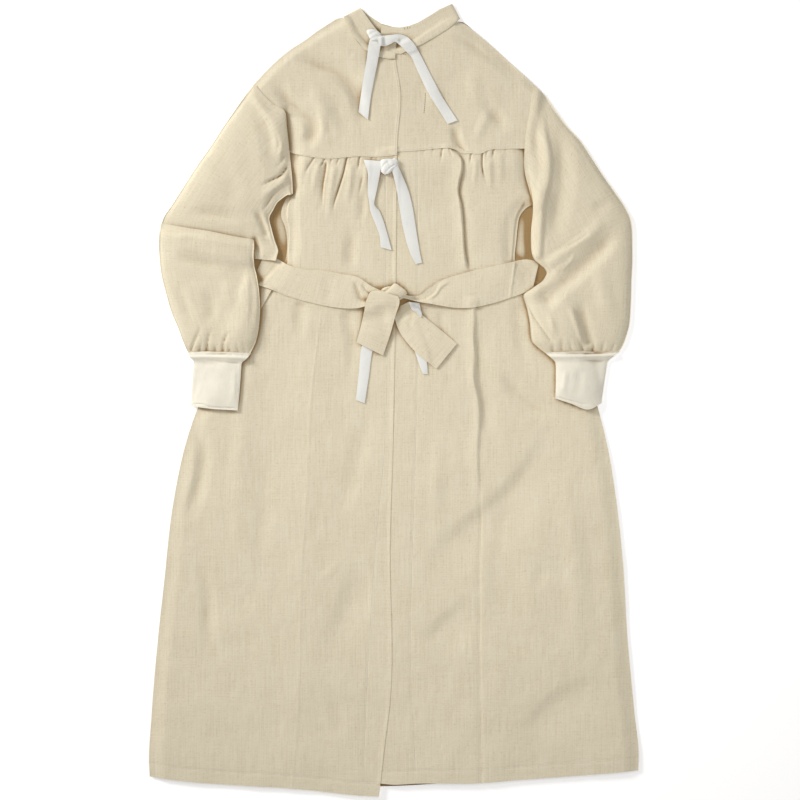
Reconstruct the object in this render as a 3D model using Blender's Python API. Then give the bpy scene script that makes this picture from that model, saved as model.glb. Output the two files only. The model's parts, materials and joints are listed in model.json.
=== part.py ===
"""A linen medical smock laid flat, opening side up.

The cloth lies in layers: the back panel on the floor, the two gathered fronts and the two
yokes on it, the stand collar at the neck, the tapes and the belt tied across, and the full
sleeves with their jersey cuffs folded down over the sides. Metres, +Z up. The origin is at
the middle of the garment's footprint, on the floor.
"""
import math
from collections import namedtuple

import bmesh
import bpy
from mathutils import Vector
from mathutils.bvhtree import BVHTree

MM = 0.001

# Driving dimensions
GARMENT_LENGTH = 1.268
LINEN = 1.2 * MM
JERSEY = 1.4 * MM
TAPE = 1.0 * MM
BELT = 1.6 * MM
SEAM_GAP = 0.3 * MM
LAY_GAP = 0.4 * MM
FRONT_RISE = 3.3 * MM
UNDERLAP_RISE = 0.6 * MM
TUBE_EDGE_GAP = 0.7 * MM
TUBE_MOST_GAP = 3.7 * MM

# How finely, and how often, a piece is tested against what it lies on
SETTLE_STEPS = 4
SETTLE_ROUNDS = 12
POINT_REACH = 1.5 * MM
DOWN = Vector((0.0, 0.0, -1.0))

# The flat plan that every outline below is drawn on: its u runs to the wearer's side that lies
# right, its v runs down from the collar, and PLAN_LENGTH of its units are the garment's length.
PLAN_LENGTH = 792.6
PLAN_MIDDLE = (394.0, 399.9)
UNIT = GARMENT_LENGTH / PLAN_LENGTH

# A fold's path on the plan, its half width in plan units and its height, down if negative
Fold = namedtuple("Fold", "path width height")
# A section across a strip or a tube: its two ends, how far its middle bows to +u, its lift
Section = namedtuple("Section", "u1 v1 u2 v2 bow lift")
# A finish: colour, roughness
Finish = namedtuple("Finish", "colour roughness")

FINISHES = {
    "linen": Finish((0.74, 0.66, 0.50, 1.0), 0.9),
    "cotton_tape": Finish((0.82, 0.82, 0.77, 1.0), 0.8),
    "jersey": Finish((0.81, 0.76, 0.64, 1.0), 0.95),
}

# Outlines of the body, in plan units
ARMHOLE_LEFT = ((253, 86), (271, 109), (279, 126), (282, 149), (286, 175), (289, 193))
ARMHOLE_RIGHT = ((537, 88), (532, 110), (528, 130), (527, 149), (529, 175), (536, 203))
SIDE_LEFT = ((289, 193), (287.5, 228), (286, 262), (250, 300), (225, 350), (199, 405),
             (187, 440), (174, 500), (164.5, 580), (157, 650), (151.5, 720), (149.3, 760),
             (150, 776))
SIDE_RIGHT = ((536, 203), (514, 222), (512, 262), (566, 300), (580, 350), (597, 405),
              (606, 440), (616, 500), (622.5, 560), (627.5, 640), (634, 710), (638.5, 755),
              (638, 770))
BACK_SIDE_LEFT = ((253, 86), (262, 130), (262, 205), (250, 262), (240, 300), (219, 350),
                  (199, 405)) + SIDE_LEFT[6:]
BACK_SIDE_RIGHT = ((537, 88), (540, 130), (541, 205), (552, 262), (570, 300), (583, 350),
                   (597, 405)) + SIDE_RIGHT[6:]
BACK_NECK = ((344, 19.2), (355.5, 33.5), (376.5, 44.5), (400, 49.5), (430, 40.5),
             (446.5, 30.2), (459.3, 21.6))
BACK_TOP = ((253, 86), (272, 66), (288, 52), (306, 40), (323, 28)) + BACK_NECK + (
    (477, 34), (498, 52), (520, 72), (537, 88))
BACK_HEM = ((150, 775), (239, 782), (312, 785), (390, 785), (482, 779.5), (587, 774), (638, 769))
HEM_LEFT = ((150, 776), (177, 780), (239, 785), (292, 788), (312, 790), (360, 795), (379, 796))
HEM_RIGHT = ((372, 782), (394, 784), (415, 783), (481, 782.5), (512, 780), (546, 777.5),
             (605, 773), (638, 770))
OPENING_LEFT = ((397, 150), (396.5, 200), (395.5, 300), (393, 437), (390, 547), (390, 700),
                (384, 750), (379, 796))
OPENING_RIGHT = ((378, 149), (376, 300), (373, 437), (370, 700), (372, 782))
SKIRT_TOP_LEFT = ((282, 149), (300, 151), (313, 155), (330, 157), (361, 154), (397, 150))
SKIRT_TOP_RIGHT = ((378, 149), (397, 149), (455, 144), (461, 150), (480, 151), (490, 146),
                   (527, 146))
YOKE_SEAM_LEFT = ((282, 149.5), (300, 153), (313, 158), (330, 160), (361, 157), (397, 153))
YOKE_SEAM_RIGHT = ((378, 152), (397, 152), (455, 147), (461, 153), (480, 154), (490, 149),
                   (527, 148))
YOKE_TOP_LEFT = ((253, 86), (272, 66), (288, 52), (306, 40), (323, 28), (343.5, 18.5),
                 (353, 36), (366, 51), (381, 58), (395.5, 60.5))
YOKE_TOP_RIGHT = ((378, 56), (402, 56), (420.4, 47), (440, 34.5), (460.5, 22.5), (477, 34),
                  (498, 52), (520, 72), (537, 88))
YOKE_OPENING_LEFT = ((395.5, 60.5), (400.5, 95), (397.5, 139), (397, 153))
YOKE_OPENING_RIGHT = ((378, 56), (378, 152))

# Gathers under the yokes and the main folds of the fronts
GATHERS_LEFT = (
    Fold(((297, 152), (292, 170)), 7, -1.2 * MM),
    Fold(((313, 157), (304, 178)), 7, -2.0 * MM),
    Fold(((325, 160), (321, 213)), 8, -2.4 * MM),
    Fold(((337, 160), (334, 176)), 6, -1.8 * MM),
    Fold(((346, 158), (342, 174), (332, 214)), 7, -2.4 * MM),
    Fold(((359, 157), (357, 196)), 7, -2.0 * MM),
    Fold(((376, 155), (373, 190)), 7, -1.4 * MM),
)
FOLDS_LEFT = (
    Fold(((352, 225), (349, 268)), 10, -1.8 * MM),
    Fold(((322, 315), (311, 400), (301, 582), (292, 788)), 14, 1.6 * MM),
    Fold(((203, 440), (197, 480), (183, 530)), 14, -1.6 * MM),
    Fold(((198, 560), (210, 640), (227, 664)), 14, -1.4 * MM),
    Fold(((375, 423), (360, 473), (343, 497)), 13, -1.6 * MM),
    Fold(((360, 567), (330, 657)), 15, -1.4 * MM),
    Fold(((250, 330), (246, 400), (240, 480)), 16, 1.4 * MM),
)
GATHERS_RIGHT = (
    Fold(((442, 148), (439, 168)), 7, -1.6 * MM),
    Fold(((452, 148), (456, 168)), 6, -1.6 * MM),
    Fold(((459, 152), (459, 200), (461, 268)), 7, -2.4 * MM),
    Fold(((473, 154), (470, 172)), 6, -1.8 * MM),
    Fold(((484, 152), (485, 182)), 7, -2.2 * MM),
    Fold(((495, 147), (493, 168)), 7, -1.6 * MM),
    Fold(((510, 146), (508, 160)), 7, -1.0 * MM),
    Fold(((424, 150), (422, 166)), 7, -1.2 * MM),
)
FOLDS_RIGHT = (
    Fold(((469, 160), (466, 200), (470, 268), (474, 373), (478, 457), (481, 567), (482, 782)),
         11, 1.8 * MM),
    Fold(((553, 423), (530, 467), (473, 523), (420, 580)), 16, -1.5 * MM),
    Fold(((477, 597), (450, 620), (420, 647)), 14, -1.2 * MM),
    Fold(((610, 680), (560, 700), (517, 743)), 16, -1.3 * MM),
    Fold(((492, 413), (492, 447)), 12, -1.5 * MM),
    Fold(((560, 470), (575, 560), (580, 660)), 20, 1.4 * MM),
)
YOKE_FOLDS_LEFT = (
    Fold(((293, 62), (337, 77), (357, 107), (362, 150)), 12, -1.4 * MM),
    Fold(((275, 83), (287, 113), (307, 140)), 10, -1.2 * MM),
    Fold(((318, 52), (350, 62), (376, 100)), 12, 1.0 * MM),
)
YOKE_FOLDS_RIGHT = (
    Fold(((457, 37), (480, 52), (507, 70)), 11, -1.2 * MM),
    Fold(((487, 104), (502, 130)), 12, -1.2 * MM),
    Fold(((453, 122), (460, 150)), 10, -1.2 * MM),
    Fold(((430, 70), (436, 120)), 14, 1.0 * MM),
)

# Sections of the collar's band, top edge to seam, from the left front round the back to the
# right front, with the height of the band's middle in mm; turn is how far it has folded over:
# 0 where it lies as the front does, 1 where it lies under as the back of the neck does.
CollarSection = namedtuple("CollarSection", "u1 v1 u2 v2 height turn")
COLLAR = (
    CollarSection(396.5, 42.5, 395, 59, 5.6, 0.0),
    CollarSection(388, 39, 388, 58.6, 5.5, 0.0),
    CollarSection(380.5, 35, 378, 56, 5.0, 0.0),
    CollarSection(371, 23, 364, 49, 3.4, 0.0),
    CollarSection(364.3, 13.5, 352, 34, 2.8, 0.0),
    CollarSection(361.2, 8.8, 344, 18, 2.4, 0.0),
    CollarSection(361.2, 8.8, 344, 18, 1.5, 0.5),
    CollarSection(361.2, 8.8, 344, 18, 0.6, 1.0),
    CollarSection(368, 15, 355.5, 33, 0.6, 1.0),
    CollarSection(381, 23.5, 376.5, 44, 0.6, 1.0),
    CollarSection(400, 29, 400, 49, 0.6, 1.0),
    CollarSection(425, 20.5, 430, 40, 0.6, 1.0),
    CollarSection(440, 10.5, 446.5, 29.5, 0.6, 1.0),
    CollarSection(451, 4.6, 459, 19.8, 0.6, 1.0),
    CollarSection(451, 4.6, 459, 19.8, 1.5, 1.5),
    CollarSection(451, 4.6, 459, 19.8, 2.4, 2.0),
    CollarSection(440, 9.5, 447.5, 28.5, 2.6, 2.0),
    CollarSection(430, 16, 434.5, 36.5, 2.7, 2.0),
    CollarSection(418, 23, 422.5, 43.5, 2.8, 2.0),
    CollarSection(409, 26.3, 413, 48, 2.9, 2.0),
    CollarSection(400, 28, 401, 53.5, 3.0, 2.0),
    CollarSection(390, 27, 388.5, 53, 3.0, 2.0),
    CollarSection(381.5, 25.4, 379, 50, 3.0, 2.0),
)

# Sections of the sleeves, outer edge to inner edge, from the armhole to the cuff; the lift is
# how far the upper wall stands off the lower one
SLEEVE_LEFT = (
    Section(256, 83, 292, 194, 9.0, 0.8),
    Section(247, 94, 290.5, 195, 8.0, 2.2),
    Section(237, 108, 288, 196, 6.0, 3.0),
    Section(224, 127, 285, 197.5, 4.5, 3.2),
    Section(211, 147, 281.5, 200, 3.0, 3.0),
    Section(198, 165.5, 277.5, 203.5, 1.5, 2.8),
    Section(186, 184, 273.5, 210, 0.0, 2.6),
    Section(174, 203, 269.5, 219, 0.0, 2.0),
    Section(163.5, 219, 271.5, 230, 0.0, 1.2),
    Section(161.3, 223.4, 274.3, 240, 0.0, 0.2),
    Section(160.8, 225.6, 275, 243, 0.0, 3.0),
    Section(159.6, 233, 277, 248, 0.0, 3.2),
    Section(159.2, 244, 278.3, 253.5, 0.0, 3.0),
    Section(159.7, 256, 276.5, 260.5, 0.0, 3.0),
    Section(160.3, 262, 257.5, 264, 0.0, 3.0),
    Section(162, 276, 258, 278, 0.0, 3.0),
    Section(165.5, 290, 259.5, 291, 0.0, 3.0),
    Section(171, 310, 260, 310, 0.0, 3.0),
    Section(178, 327, 259.5, 326, 0.0, 2.6),
    Section(184, 343, 256.5, 342, 0.0, 2.2),
    Section(188, 352, 251, 354, 0.0, 1.2),
    Section(193, 359, 243, 362.4, 0.0, 0.6),
)
SLEEVE_RIGHT = (
    Section(536, 87, 533, 203, -10.0, 0.8),
    Section(545, 96, 532.5, 207, -8.0, 2.2),
    Section(556, 112, 532, 212, -5.0, 3.0),
    Section(567, 127, 531.3, 218, -3.0, 3.2),
    Section(580, 141, 531, 225, 0.0, 3.2),
    Section(592, 159, 530.7, 232, 0.0, 3.0),
    Section(603, 176, 530.6, 239, 0.0, 2.8),
    Section(615, 193, 530.8, 246, 0.0, 2.8),
    Section(625, 208, 531.5, 252, 0.0, 2.6),
    Section(631, 222, 533.5, 258, 0.0, 2.4),
    Section(632, 236, 537, 262.5, 0.0, 2.4),
    Section(632, 248, 542, 267, 0.0, 2.6),
    Section(632, 260, 546.3, 272, 0.0, 2.8),
    Section(631.5, 271, 541, 281, 0.0, 2.8),
    Section(631, 282, 530, 289.5, 0.0, 2.8),
    Section(630.8, 294, 522.5, 297, 0.0, 2.8),
    Section(630.3, 306, 526.5, 308, 0.0, 3.0),
    Section(629.3, 322, 529.5, 325, 0.0, 2.6),
    Section(625.5, 338, 531, 341, 0.0, 2.2),
    Section(620, 351, 542, 352, 0.0, 1.2),
    Section(609, 360.8, 553.5, 360.8, 0.0, 0.6),
)
SLEEVE_FOLDS_LEFT = (
    Fold(((246, 100), (262, 140), (270, 185)), 10, 0.8 * MM),
    Fold(((205, 165), (235, 190), (262, 200)), 12, -1.2 * MM),
    Fold(((262, 246), (270, 256)), 9, -2.0 * MM),
    Fold(((198, 352), (202, 330)), 5, -1.4 * MM),
    Fold(((210, 353), (212, 326)), 5, -1.6 * MM),
    Fold(((222, 354), (222, 330)), 5, -1.6 * MM),
    Fold(((233, 355), (231, 328)), 5, -1.4 * MM),
    Fold(((245, 355), (240, 336)), 5, -1.2 * MM),
)
SLEEVE_FOLDS_RIGHT = (
    Fold(((552, 118), (558, 160), (555, 205), (549, 250)), 10, -1.8 * MM),
    Fold(((607, 253), (572, 276), (540, 302)), 10, -1.9 * MM),
    Fold(((606, 240), (570, 262), (548, 276)), 9, 0.7 * MM),
    Fold(((530, 304), (537, 322), (555, 345)), 7, -1.6 * MM),
    Fold(((575, 300), (590, 345)), 9, -1.6 * MM),
    Fold(((568, 358), (566, 338)), 5, -1.4 * MM),
    Fold(((580, 359), (580, 336)), 5, -1.5 * MM),
    Fold(((600, 358), (604, 336)), 5, -1.5 * MM),
)
CUFF_LEFT = (
    Section(194.3, 359.9, 241.6, 363.1, 0.0, 0.6),
    Section(193.2, 371, 241.5, 375, 0.0, 1.4),
    Section(192.2, 388, 240, 392, 0.0, 1.8),
    Section(191.5, 405.8, 238, 410.3, 0.0, 1.2),
)
CUFF_RIGHT = (
    Section(607.7, 361.4, 554.8, 361.4, 0.0, 0.6),
    Section(606, 373, 555.4, 373, 0.0, 1.4),
    Section(603.5, 387, 555.2, 386, 0.0, 1.8),
    Section(601.5, 403, 555, 398, 0.0, 1.2),
)

# Sections of the belt and the tapes, edge to edge; the lift is the height over what they lie on
BELT_LEFT = (
    Section(264, 255, 252, 283, 0.0, 0.0),
    Section(277, 259, 263, 287, 0.0, 0.0),
    Section(290, 266, 276, 291, 0.0, 0.2),
    Section(305, 270, 291, 297, 0.0, 0.5),
    Section(320, 270.5, 312, 303, 0.0, 1.0),
    Section(345, 274, 336, 307.5, 0.0, 2.0),
    Section(360, 281, 353, 308.5, 0.0, 2.4),
    Section(372, 288, 364, 306, 0.0, 2.0),
    Section(381, 292.5, 376, 302, 0.0, 1.0),
)
BELT_RIGHT = (
    Section(405, 293, 403, 299, 0.0, 1.0),
    Section(416, 295.5, 414, 301, 0.0, 1.5),
    Section(428, 288.5, 425, 303.5, 0.0, 2.0),
    Section(440, 282, 438, 306, 0.0, 2.4),
    Section(455, 276, 453, 307.6, 0.0, 2.0),
    Section(470, 272, 470, 307.5, 0.0, 1.2),
    Section(490, 267, 490, 304, 0.0, 0.6),
    Section(511, 262, 511, 298, 0.0, 0.4),
    Section(524, 258.5, 527, 292, 0.0, 0.0),
    Section(537, 256, 543, 285, 0.0, 0.0),
    Section(552, 255, 558, 280, 0.0, 0.0),
)
BELT_TAIL_LEFT = (
    Section(369.5, 293.5, 394, 296.5, 0.0, 0.6),
    Section(366.8, 300.5, 399.2, 300.5, 0.0, 1.8),
    Section(364, 313, 395.5, 315, 0.0, 2.4),
    Section(360.5, 328, 390, 335, 0.0, 2.0),
    Section(356.5, 342.5, 383, 355.5, 0.0, 1.0),
)
BELT_TAIL_RIGHT = (
    Section(407, 303, 398, 313, 0.0, 0.4),
    Section(418, 311.5, 399, 327, 0.0, 1.6),
    Section(430, 321.5, 407.5, 342, 0.0, 1.8),
    Section(443, 332, 421, 356.5, 0.0, 1.4),
    Section(456.5, 343.5, 436.5, 369, 0.0, 0.6),
)
NECK_BRIDGE = (
    Section(380.5, 36.5, 381, 47.5, 0.0, 1.2),
    Section(391, 35.5, 391, 44, 0.0, 2.6),
    Section(401, 36, 396, 43, 0.0, 2.4),
    Section(408, 39, 402, 48, 0.0, 1.6),
    Section(417, 49, 408, 54.5, 0.0, 0.8),
    Section(425, 65, 416, 69.5, 0.0, 0.4),
    Section(439, 93, 430, 97.5, 0.0, 0.3),
    Section(457.5, 121, 447.5, 124, 0.0, 0.2),
)
NECK_TAIL_LEFT = (
    Section(369.5, 42.5, 380.5, 42.5, 0.0, 1.4),
    Section(367, 58, 378.5, 59, 0.0, 0.9),
    Section(364.5, 75, 375, 75, 0.0, 0.4),
    Section(361, 95, 371, 96, 0.0, 0.3),
    Section(358.5, 113, 368, 120, 0.0, 0.2),
)
CHEST_TAIL_LEFT = (
    Section(363.5, 160.5, 379, 162.5, 0.0, 0.6),
    Section(367.8, 173, 380, 174.5, 0.0, 1.2),
    Section(367.6, 186, 377.5, 187, 0.0, 0.8),
    Section(368.2, 199, 374.5, 202.5, 0.0, 0.8),
    Section(370.3, 211, 379.5, 211.5, 0.0, 0.6),
    Section(378.5, 231, 386.5, 230, 0.0, 0.4),
    Section(381, 248, 391.5, 250, 0.0, 0.2),
)
CHEST_TAIL_RIGHT = (
    Section(392, 171, 398.2, 169.5, 0.0, 1.2),
    Section(395, 183, 404.8, 182, 0.0, 0.8),
    Section(398.5, 200, 410, 200, 0.0, 0.5),
    Section(403, 226, 414.6, 225, 0.0, 0.4),
    Section(407, 247, 418, 246, 0.0, 0.3),
    Section(416, 264, 421.5, 263, 0.0, 0.2),
)
WAIST_TAIL_LEFT = (
    Section(377, 313, 386, 315, 0.0, 0.0),
    Section(369, 330, 379, 333, 0.0, 0.0),
    Section(362, 346, 372.6, 350, 0.0, 0.0),
    Section(359, 372, 369.3, 373, 0.0, 0.2),
    Section(356, 400, 364.8, 403, 0.0, 0.2),
)
WAIST_TAIL_RIGHT = (
    Section(404, 323, 413, 320, 0.0, 0.0),
    Section(408, 337, 418, 336, 0.0, 0.0),
    Section(414.5, 351, 424.5, 352, 0.0, 0.0),
    Section(420.5, 373, 427.5, 374, 0.0, 0.0),
)
WAIST_LOOP = (
    Section(409, 302.5, 409, 309, 0.0, 0.6),
    Section(416, 303, 415, 311, 0.0, 1.0),
    Section(421.5, 307, 418.5, 314, 0.0, 0.4),
)

# Knots: middle, half sizes along and across, how far turned, and height
Knot = namedtuple("Knot", "u v along across turn height")
NECK_KNOT = Knot(373.5, 35.5, 8.2, 5.2, -10.0, 6.0 * MM)
CHEST_KNOT = Knot(389, 167, 9.0, 6.2, 12.0, 6.5 * MM)
BELT_KNOT = Knot(393.5, 291, 12.0, 7.0, -28.0, 9.0 * MM)

TUBE_COLUMNS = (0.0, 0.025, 0.1, 0.19, 0.28, 0.37, 0.46, 0.55, 0.64, 0.72, 0.79, 0.845, 0.91,
                0.975, 1.0)
CUFF_COLUMNS = (0.0, 0.045, 0.16, 0.3, 0.44, 0.58, 0.72, 0.86, 0.955, 1.0)


def place(u, v, height=0.0):
    """A plan point as a point in space."""
    return Vector(((u - PLAN_MIDDLE[0]) * UNIT, (PLAN_MIDDLE[1] - v) * UNIT, height))


def smooth(value):
    """A soft step from 0 at 0 to 1 at 1."""
    value = min(max(value, 0.0), 1.0)
    return value * value * (3.0 - 2.0 * value)


def along(path, share):
    """The point at a share of a path's length."""
    lengths = [math.dist(a, b) for a, b in zip(path, path[1:])]
    left = share * sum(lengths)
    for start, end, length in zip(path, path[1:], lengths):
        if left <= length:
            part = left / length
            return (start[0] + (end[0] - start[0]) * part, start[1] + (end[1] - start[1]) * part)
        left -= length
    return path[-1]


def distance_to_path(u, v, path):
    """The plan distance from a point to a path."""
    nearest = math.inf
    for (u1, v1), (u2, v2) in zip(path, path[1:]):
        du = u2 - u1
        dv = v2 - v1
        part = ((u - u1) * du + (v - v1) * dv) / (du * du + dv * dv)
        part = min(max(part, 0.0), 1.0)
        nearest = min(nearest, math.hypot(u - u1 - du * part, v - v1 - dv * part))
    return nearest


def relief(folds, u, v):
    """The height that a panel's folds add at a plan point."""
    total = 0.0
    for fold in folds:
        distance = distance_to_path(u, v, fold.path)
        if distance < fold.width:
            total += fold.height * (0.5 + 0.5 * math.cos(math.pi * distance / fold.width))
    return total


def shares_of(path, steps):
    """The shares of a path's length at its own points, with each stretch cut into steps."""
    lengths = [math.dist(a, b) for a, b in zip(path, path[1:])]
    shares = [0.0]
    for length in lengths:
        start = shares[-1]
        shares += [start + length * step / steps for step in range(1, steps + 1)]
    return [share / shares[-1] for share in shares]


def even_shares(count):
    """Even steps from 0 to 1."""
    return [step / count for step in range(count + 1)]


def patch(top, bottom, left, right, rows, shares, spread=1.0):
    """A grid of plan points that fills four edges; spread over 1 crowds the rows at the top."""
    grid = []
    corner = (top[0], top[-1], bottom[0], bottom[-1])
    for row in range(rows + 1):
        down = (row / rows) ** spread
        start = along(left, down)
        end = along(right, down)
        line = []
        for across in shares:
            high = along(top, across)
            low = along(bottom, across)
            point = []
            for axis in (0, 1):
                edges = start[axis] * (1 - across) + end[axis] * across
                ends = high[axis] * (1 - down) + low[axis] * down
                corners = ((corner[0][axis] * (1 - across) + corner[1][axis] * across) * (1 - down)
                           + (corner[2][axis] * (1 - across) + corner[3][axis] * across) * down)
                point.append(edges + ends - corners)
            line.append(tuple(point))
        grid.append(line)
    return grid


def across(section, share):
    """A plan point at a share of a section, with its bow."""
    bow = section.bow * 4.0 * share * (1.0 - share)
    return (section.u1 + (section.u2 - section.u1) * share + bow,
            section.v1 + (section.v2 - section.v1) * share)


def between(sections, steps):
    """The sections of a strip with more of them worked out in between."""
    result = []
    for start, end in zip(sections, sections[1:]):
        for step in range(steps):
            part = step / steps
            result.append(Section(*(a + (b - a) * part for a, b in zip(start, end))))
    result.append(sections[-1])
    return result


class Pile:
    """The cloth laid down so far, which the next piece lies on."""

    def __init__(self):
        self.layers = []

    def add(self, bm):
        xs = [vertex.co.x for vertex in bm.verts]
        ys = [vertex.co.y for vertex in bm.verts]
        self.layers.append((BVHTree.FromBMesh(bm), min(xs), max(xs), min(ys), max(ys)))

    def top(self, x, y):
        """The height of the pile at a point, below the floor where nothing lies there."""
        highest = -1.0
        start = Vector((x, y, 1.0))
        for tree, x_low, x_high, y_low, y_high in self.layers:
            if x_low <= x <= x_high and y_low <= y <= y_high:
                hit = tree.ray_cast(start, DOWN)[0]
                if hit is not None:
                    highest = max(highest, hit.z)
        return highest

    def need(self, x, y, reach):
        """The lowest clear height over a point and the four beside it."""
        highest = max(self.top(x, y), self.top(x + reach, y), self.top(x - reach, y),
                      self.top(x, y + reach), self.top(x, y - reach))
        return highest + LAY_GAP if highest >= 0.0 else 0.0

    def settle(self, grid, heights):
        """Raises a grid of heights until the cloth between its points clears the pile."""
        for line, row in zip(grid, heights):
            for column, (u, v) in enumerate(line):
                spot = place(u, v)
                row[column] = max(row[column], self.need(spot.x, spot.y, POINT_REACH))
        spots = []
        for row in range(len(grid) - 1):
            for column in range(len(grid[0]) - 1):
                near = place(*grid[row][column])
                right = place(*grid[row][column + 1])
                far = place(*grid[row + 1][column])
                opposite = place(*grid[row + 1][column + 1])
                size = max((right - near).length, (far - near).length, (opposite - far).length)
                reach = 0.6 * size / SETTLE_STEPS
                for i in range(SETTLE_STEPS + 1):
                    for j in range(SETTLE_STEPS + 1):
                        s = i / SETTLE_STEPS
                        t = j / SETTLE_STEPS
                        spot = (near * (1 - s) * (1 - t) + right * s * (1 - t)
                                + far * (1 - s) * t + opposite * s * t)
                        need = self.need(spot.x, spot.y, reach)
                        if need > 0.0:
                            spots.append((row, column, s, t, need))
        for turn in range(SETTLE_ROUNDS):
            share = 0.3 if turn < SETTLE_ROUNDS - 4 else 1.0
            for row, column, s, t, need in spots:
                a = heights[row][column]
                b = heights[row][column + 1]
                c = heights[row + 1][column]
                d = heights[row + 1][column + 1]
                if s >= t:
                    one = a + s * (b - a) + t * (d - b)
                else:
                    one = a + t * (c - a) + s * (d - c)
                if s + t <= 1.0:
                    other = a + s * (b - a) + t * (c - a)
                else:
                    other = d + (1 - s) * (c - d) + (1 - t) * (b - d)
                short = need - min(one, other)
                if short > 0.0:
                    weights = ((1 - s) * (1 - t), s * (1 - t), (1 - s) * t, s * t)
                    lift = share * short / sum(weight * weight for weight in weights)
                    heights[row][column] += lift * weights[0]
                    heights[row][column + 1] += lift * weights[1]
                    heights[row + 1][column] += lift * weights[2]
                    heights[row + 1][column + 1] += lift * weights[3]
        return heights


def wall(name, finish, skin, other_skin, pile=None, tube=False):
    """A closed wall of cloth between two like grids of points."""
    rows = len(skin)
    columns = len(skin[0])
    bm = bmesh.new()
    bmesh.ops.create_grid(bm, x_segments=columns - 1, y_segments=rows - 1, size=1.0)
    order = bm.verts.layers.int.new("order")
    for index, vertex in enumerate(bm.verts):
        vertex[order] = index
        row, column = divmod(index, columns)
        vertex.co = skin[row][column]
    if tube:
        bmesh.ops.remove_doubles(bm, verts=bm.verts[:], dist=0.01 * MM)
    grid = bm.verts[:] + bm.edges[:] + bm.faces[:]
    copied = bmesh.ops.extrude_face_region(bm, geom=grid, use_keep_orig=True)["geom"]
    for vertex in (item for item in copied if isinstance(item, bmesh.types.BMVert)):
        row, column = divmod(vertex[order], columns)
        vertex.co = other_skin[row][column]
    bmesh.ops.recalc_face_normals(bm, faces=bm.faces[:])
    bmesh.ops.triangulate(bm, faces=bm.faces[:])
    if pile is not None:
        pile.add(bm)
    return finish_object(name, finish, bm)


def finish_object(name, finish, bm):
    """Turns a bmesh into a named object with its finish."""
    mesh = bpy.data.meshes.new(name)
    bm.to_mesh(mesh)
    bm.free()
    mesh.shade_smooth()
    mesh.set_sharp_from_angle(angle=math.radians(40))
    mesh.materials.append(make_material(finish))
    made = bpy.data.objects.new(name, mesh)
    bpy.context.scene.collection.objects.link(made)
    return made


def make_material(finish):
    """The Principled material of a finish, made once."""
    known = bpy.data.materials.get(finish)
    if known:
        return known
    material = bpy.data.materials.new(finish)
    material.use_nodes = True
    shader = material.node_tree.nodes["Principled BSDF"]
    shader.inputs["Base Color"].default_value = FINISHES[finish].colour
    shader.inputs["Roughness"].default_value = FINISHES[finish].roughness
    shader.inputs["Metallic"].default_value = 0.0
    return material


def lay_grid(name, finish, grid, heights, thickness, pile):
    """A panel of even thickness over a plan grid at the given heights of its underside."""
    under = [[place(u, v, height) for (u, v), height in zip(line, row)]
             for line, row in zip(grid, heights)]
    over = [[point + Vector((0.0, 0.0, thickness)) for point in line] for line in under]
    return wall(name, finish, under, over, pile)


def panel(name, grid, rise, folds, pile):
    """A linen panel on the pile: rise gives its stand off the back at two shares."""
    rows = len(grid) - 1
    columns = len(grid[0]) - 1
    heights = []
    for row, line in enumerate(grid):
        level = []
        for column, (u, v) in enumerate(line):
            own = rise(column / columns, row / rows) + relief(folds, u, v)
            level.append(max(LINEN + SEAM_GAP, own))
        heights.append(level)
    pile.settle(grid, heights)
    return lay_grid(name, "linen", grid, heights, LINEN, pile)


def build_back(pile):
    """The back panel, flat on the floor."""
    grid = patch(BACK_TOP, BACK_HEM, BACK_SIDE_LEFT, BACK_SIDE_RIGHT, 22,
                 shares_of(BACK_TOP, 1))
    heights = [[0.0 for _ in line] for line in grid]
    lay_grid("back_panel", "linen", grid, heights, LINEN, pile)


def build_fronts(pile):
    """The two gathered fronts and the two yokes, the left ones over the right ones."""
    base = LINEN + SEAM_GAP

    def right_rise(across_share, down_share):
        edge = smooth((1.0 - across_share) / 0.12)
        underlap = UNDERLAP_RISE + (FRONT_RISE - UNDERLAP_RISE) * smooth((across_share - 0.07) / 0.1)
        return base + edge * underlap

    def left_rise(across_share, down_share):
        return base + FRONT_RISE * smooth(across_share / 0.12)

    skirt_right = patch(SKIRT_TOP_RIGHT, HEM_RIGHT, OPENING_RIGHT,
                        ARMHOLE_RIGHT[3:] + SIDE_RIGHT[1:], 26, even_shares(24), 1.45)
    skirt_left = patch(SKIRT_TOP_LEFT, HEM_LEFT, ARMHOLE_LEFT[3:] + SIDE_LEFT[1:],
                       OPENING_LEFT, 26, even_shares(22), 1.45)
    yoke_right = patch(YOKE_TOP_RIGHT, YOKE_SEAM_RIGHT, YOKE_OPENING_RIGHT, ARMHOLE_RIGHT[:4],
                       8, shares_of(YOKE_TOP_RIGHT, 2))
    yoke_left = patch(YOKE_TOP_LEFT, YOKE_SEAM_LEFT, ARMHOLE_LEFT[:4], YOKE_OPENING_LEFT,
                      8, shares_of(YOKE_TOP_LEFT, 2))
    panel("skirt_right", skirt_right, right_rise, GATHERS_RIGHT + FOLDS_RIGHT, pile)
    panel("skirt_left", skirt_left, left_rise, GATHERS_LEFT + FOLDS_LEFT, pile)
    panel("yoke_right", yoke_right, right_rise, YOKE_FOLDS_RIGHT, pile)
    panel("yoke_left", yoke_left, left_rise, YOKE_FOLDS_LEFT, pile)


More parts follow.
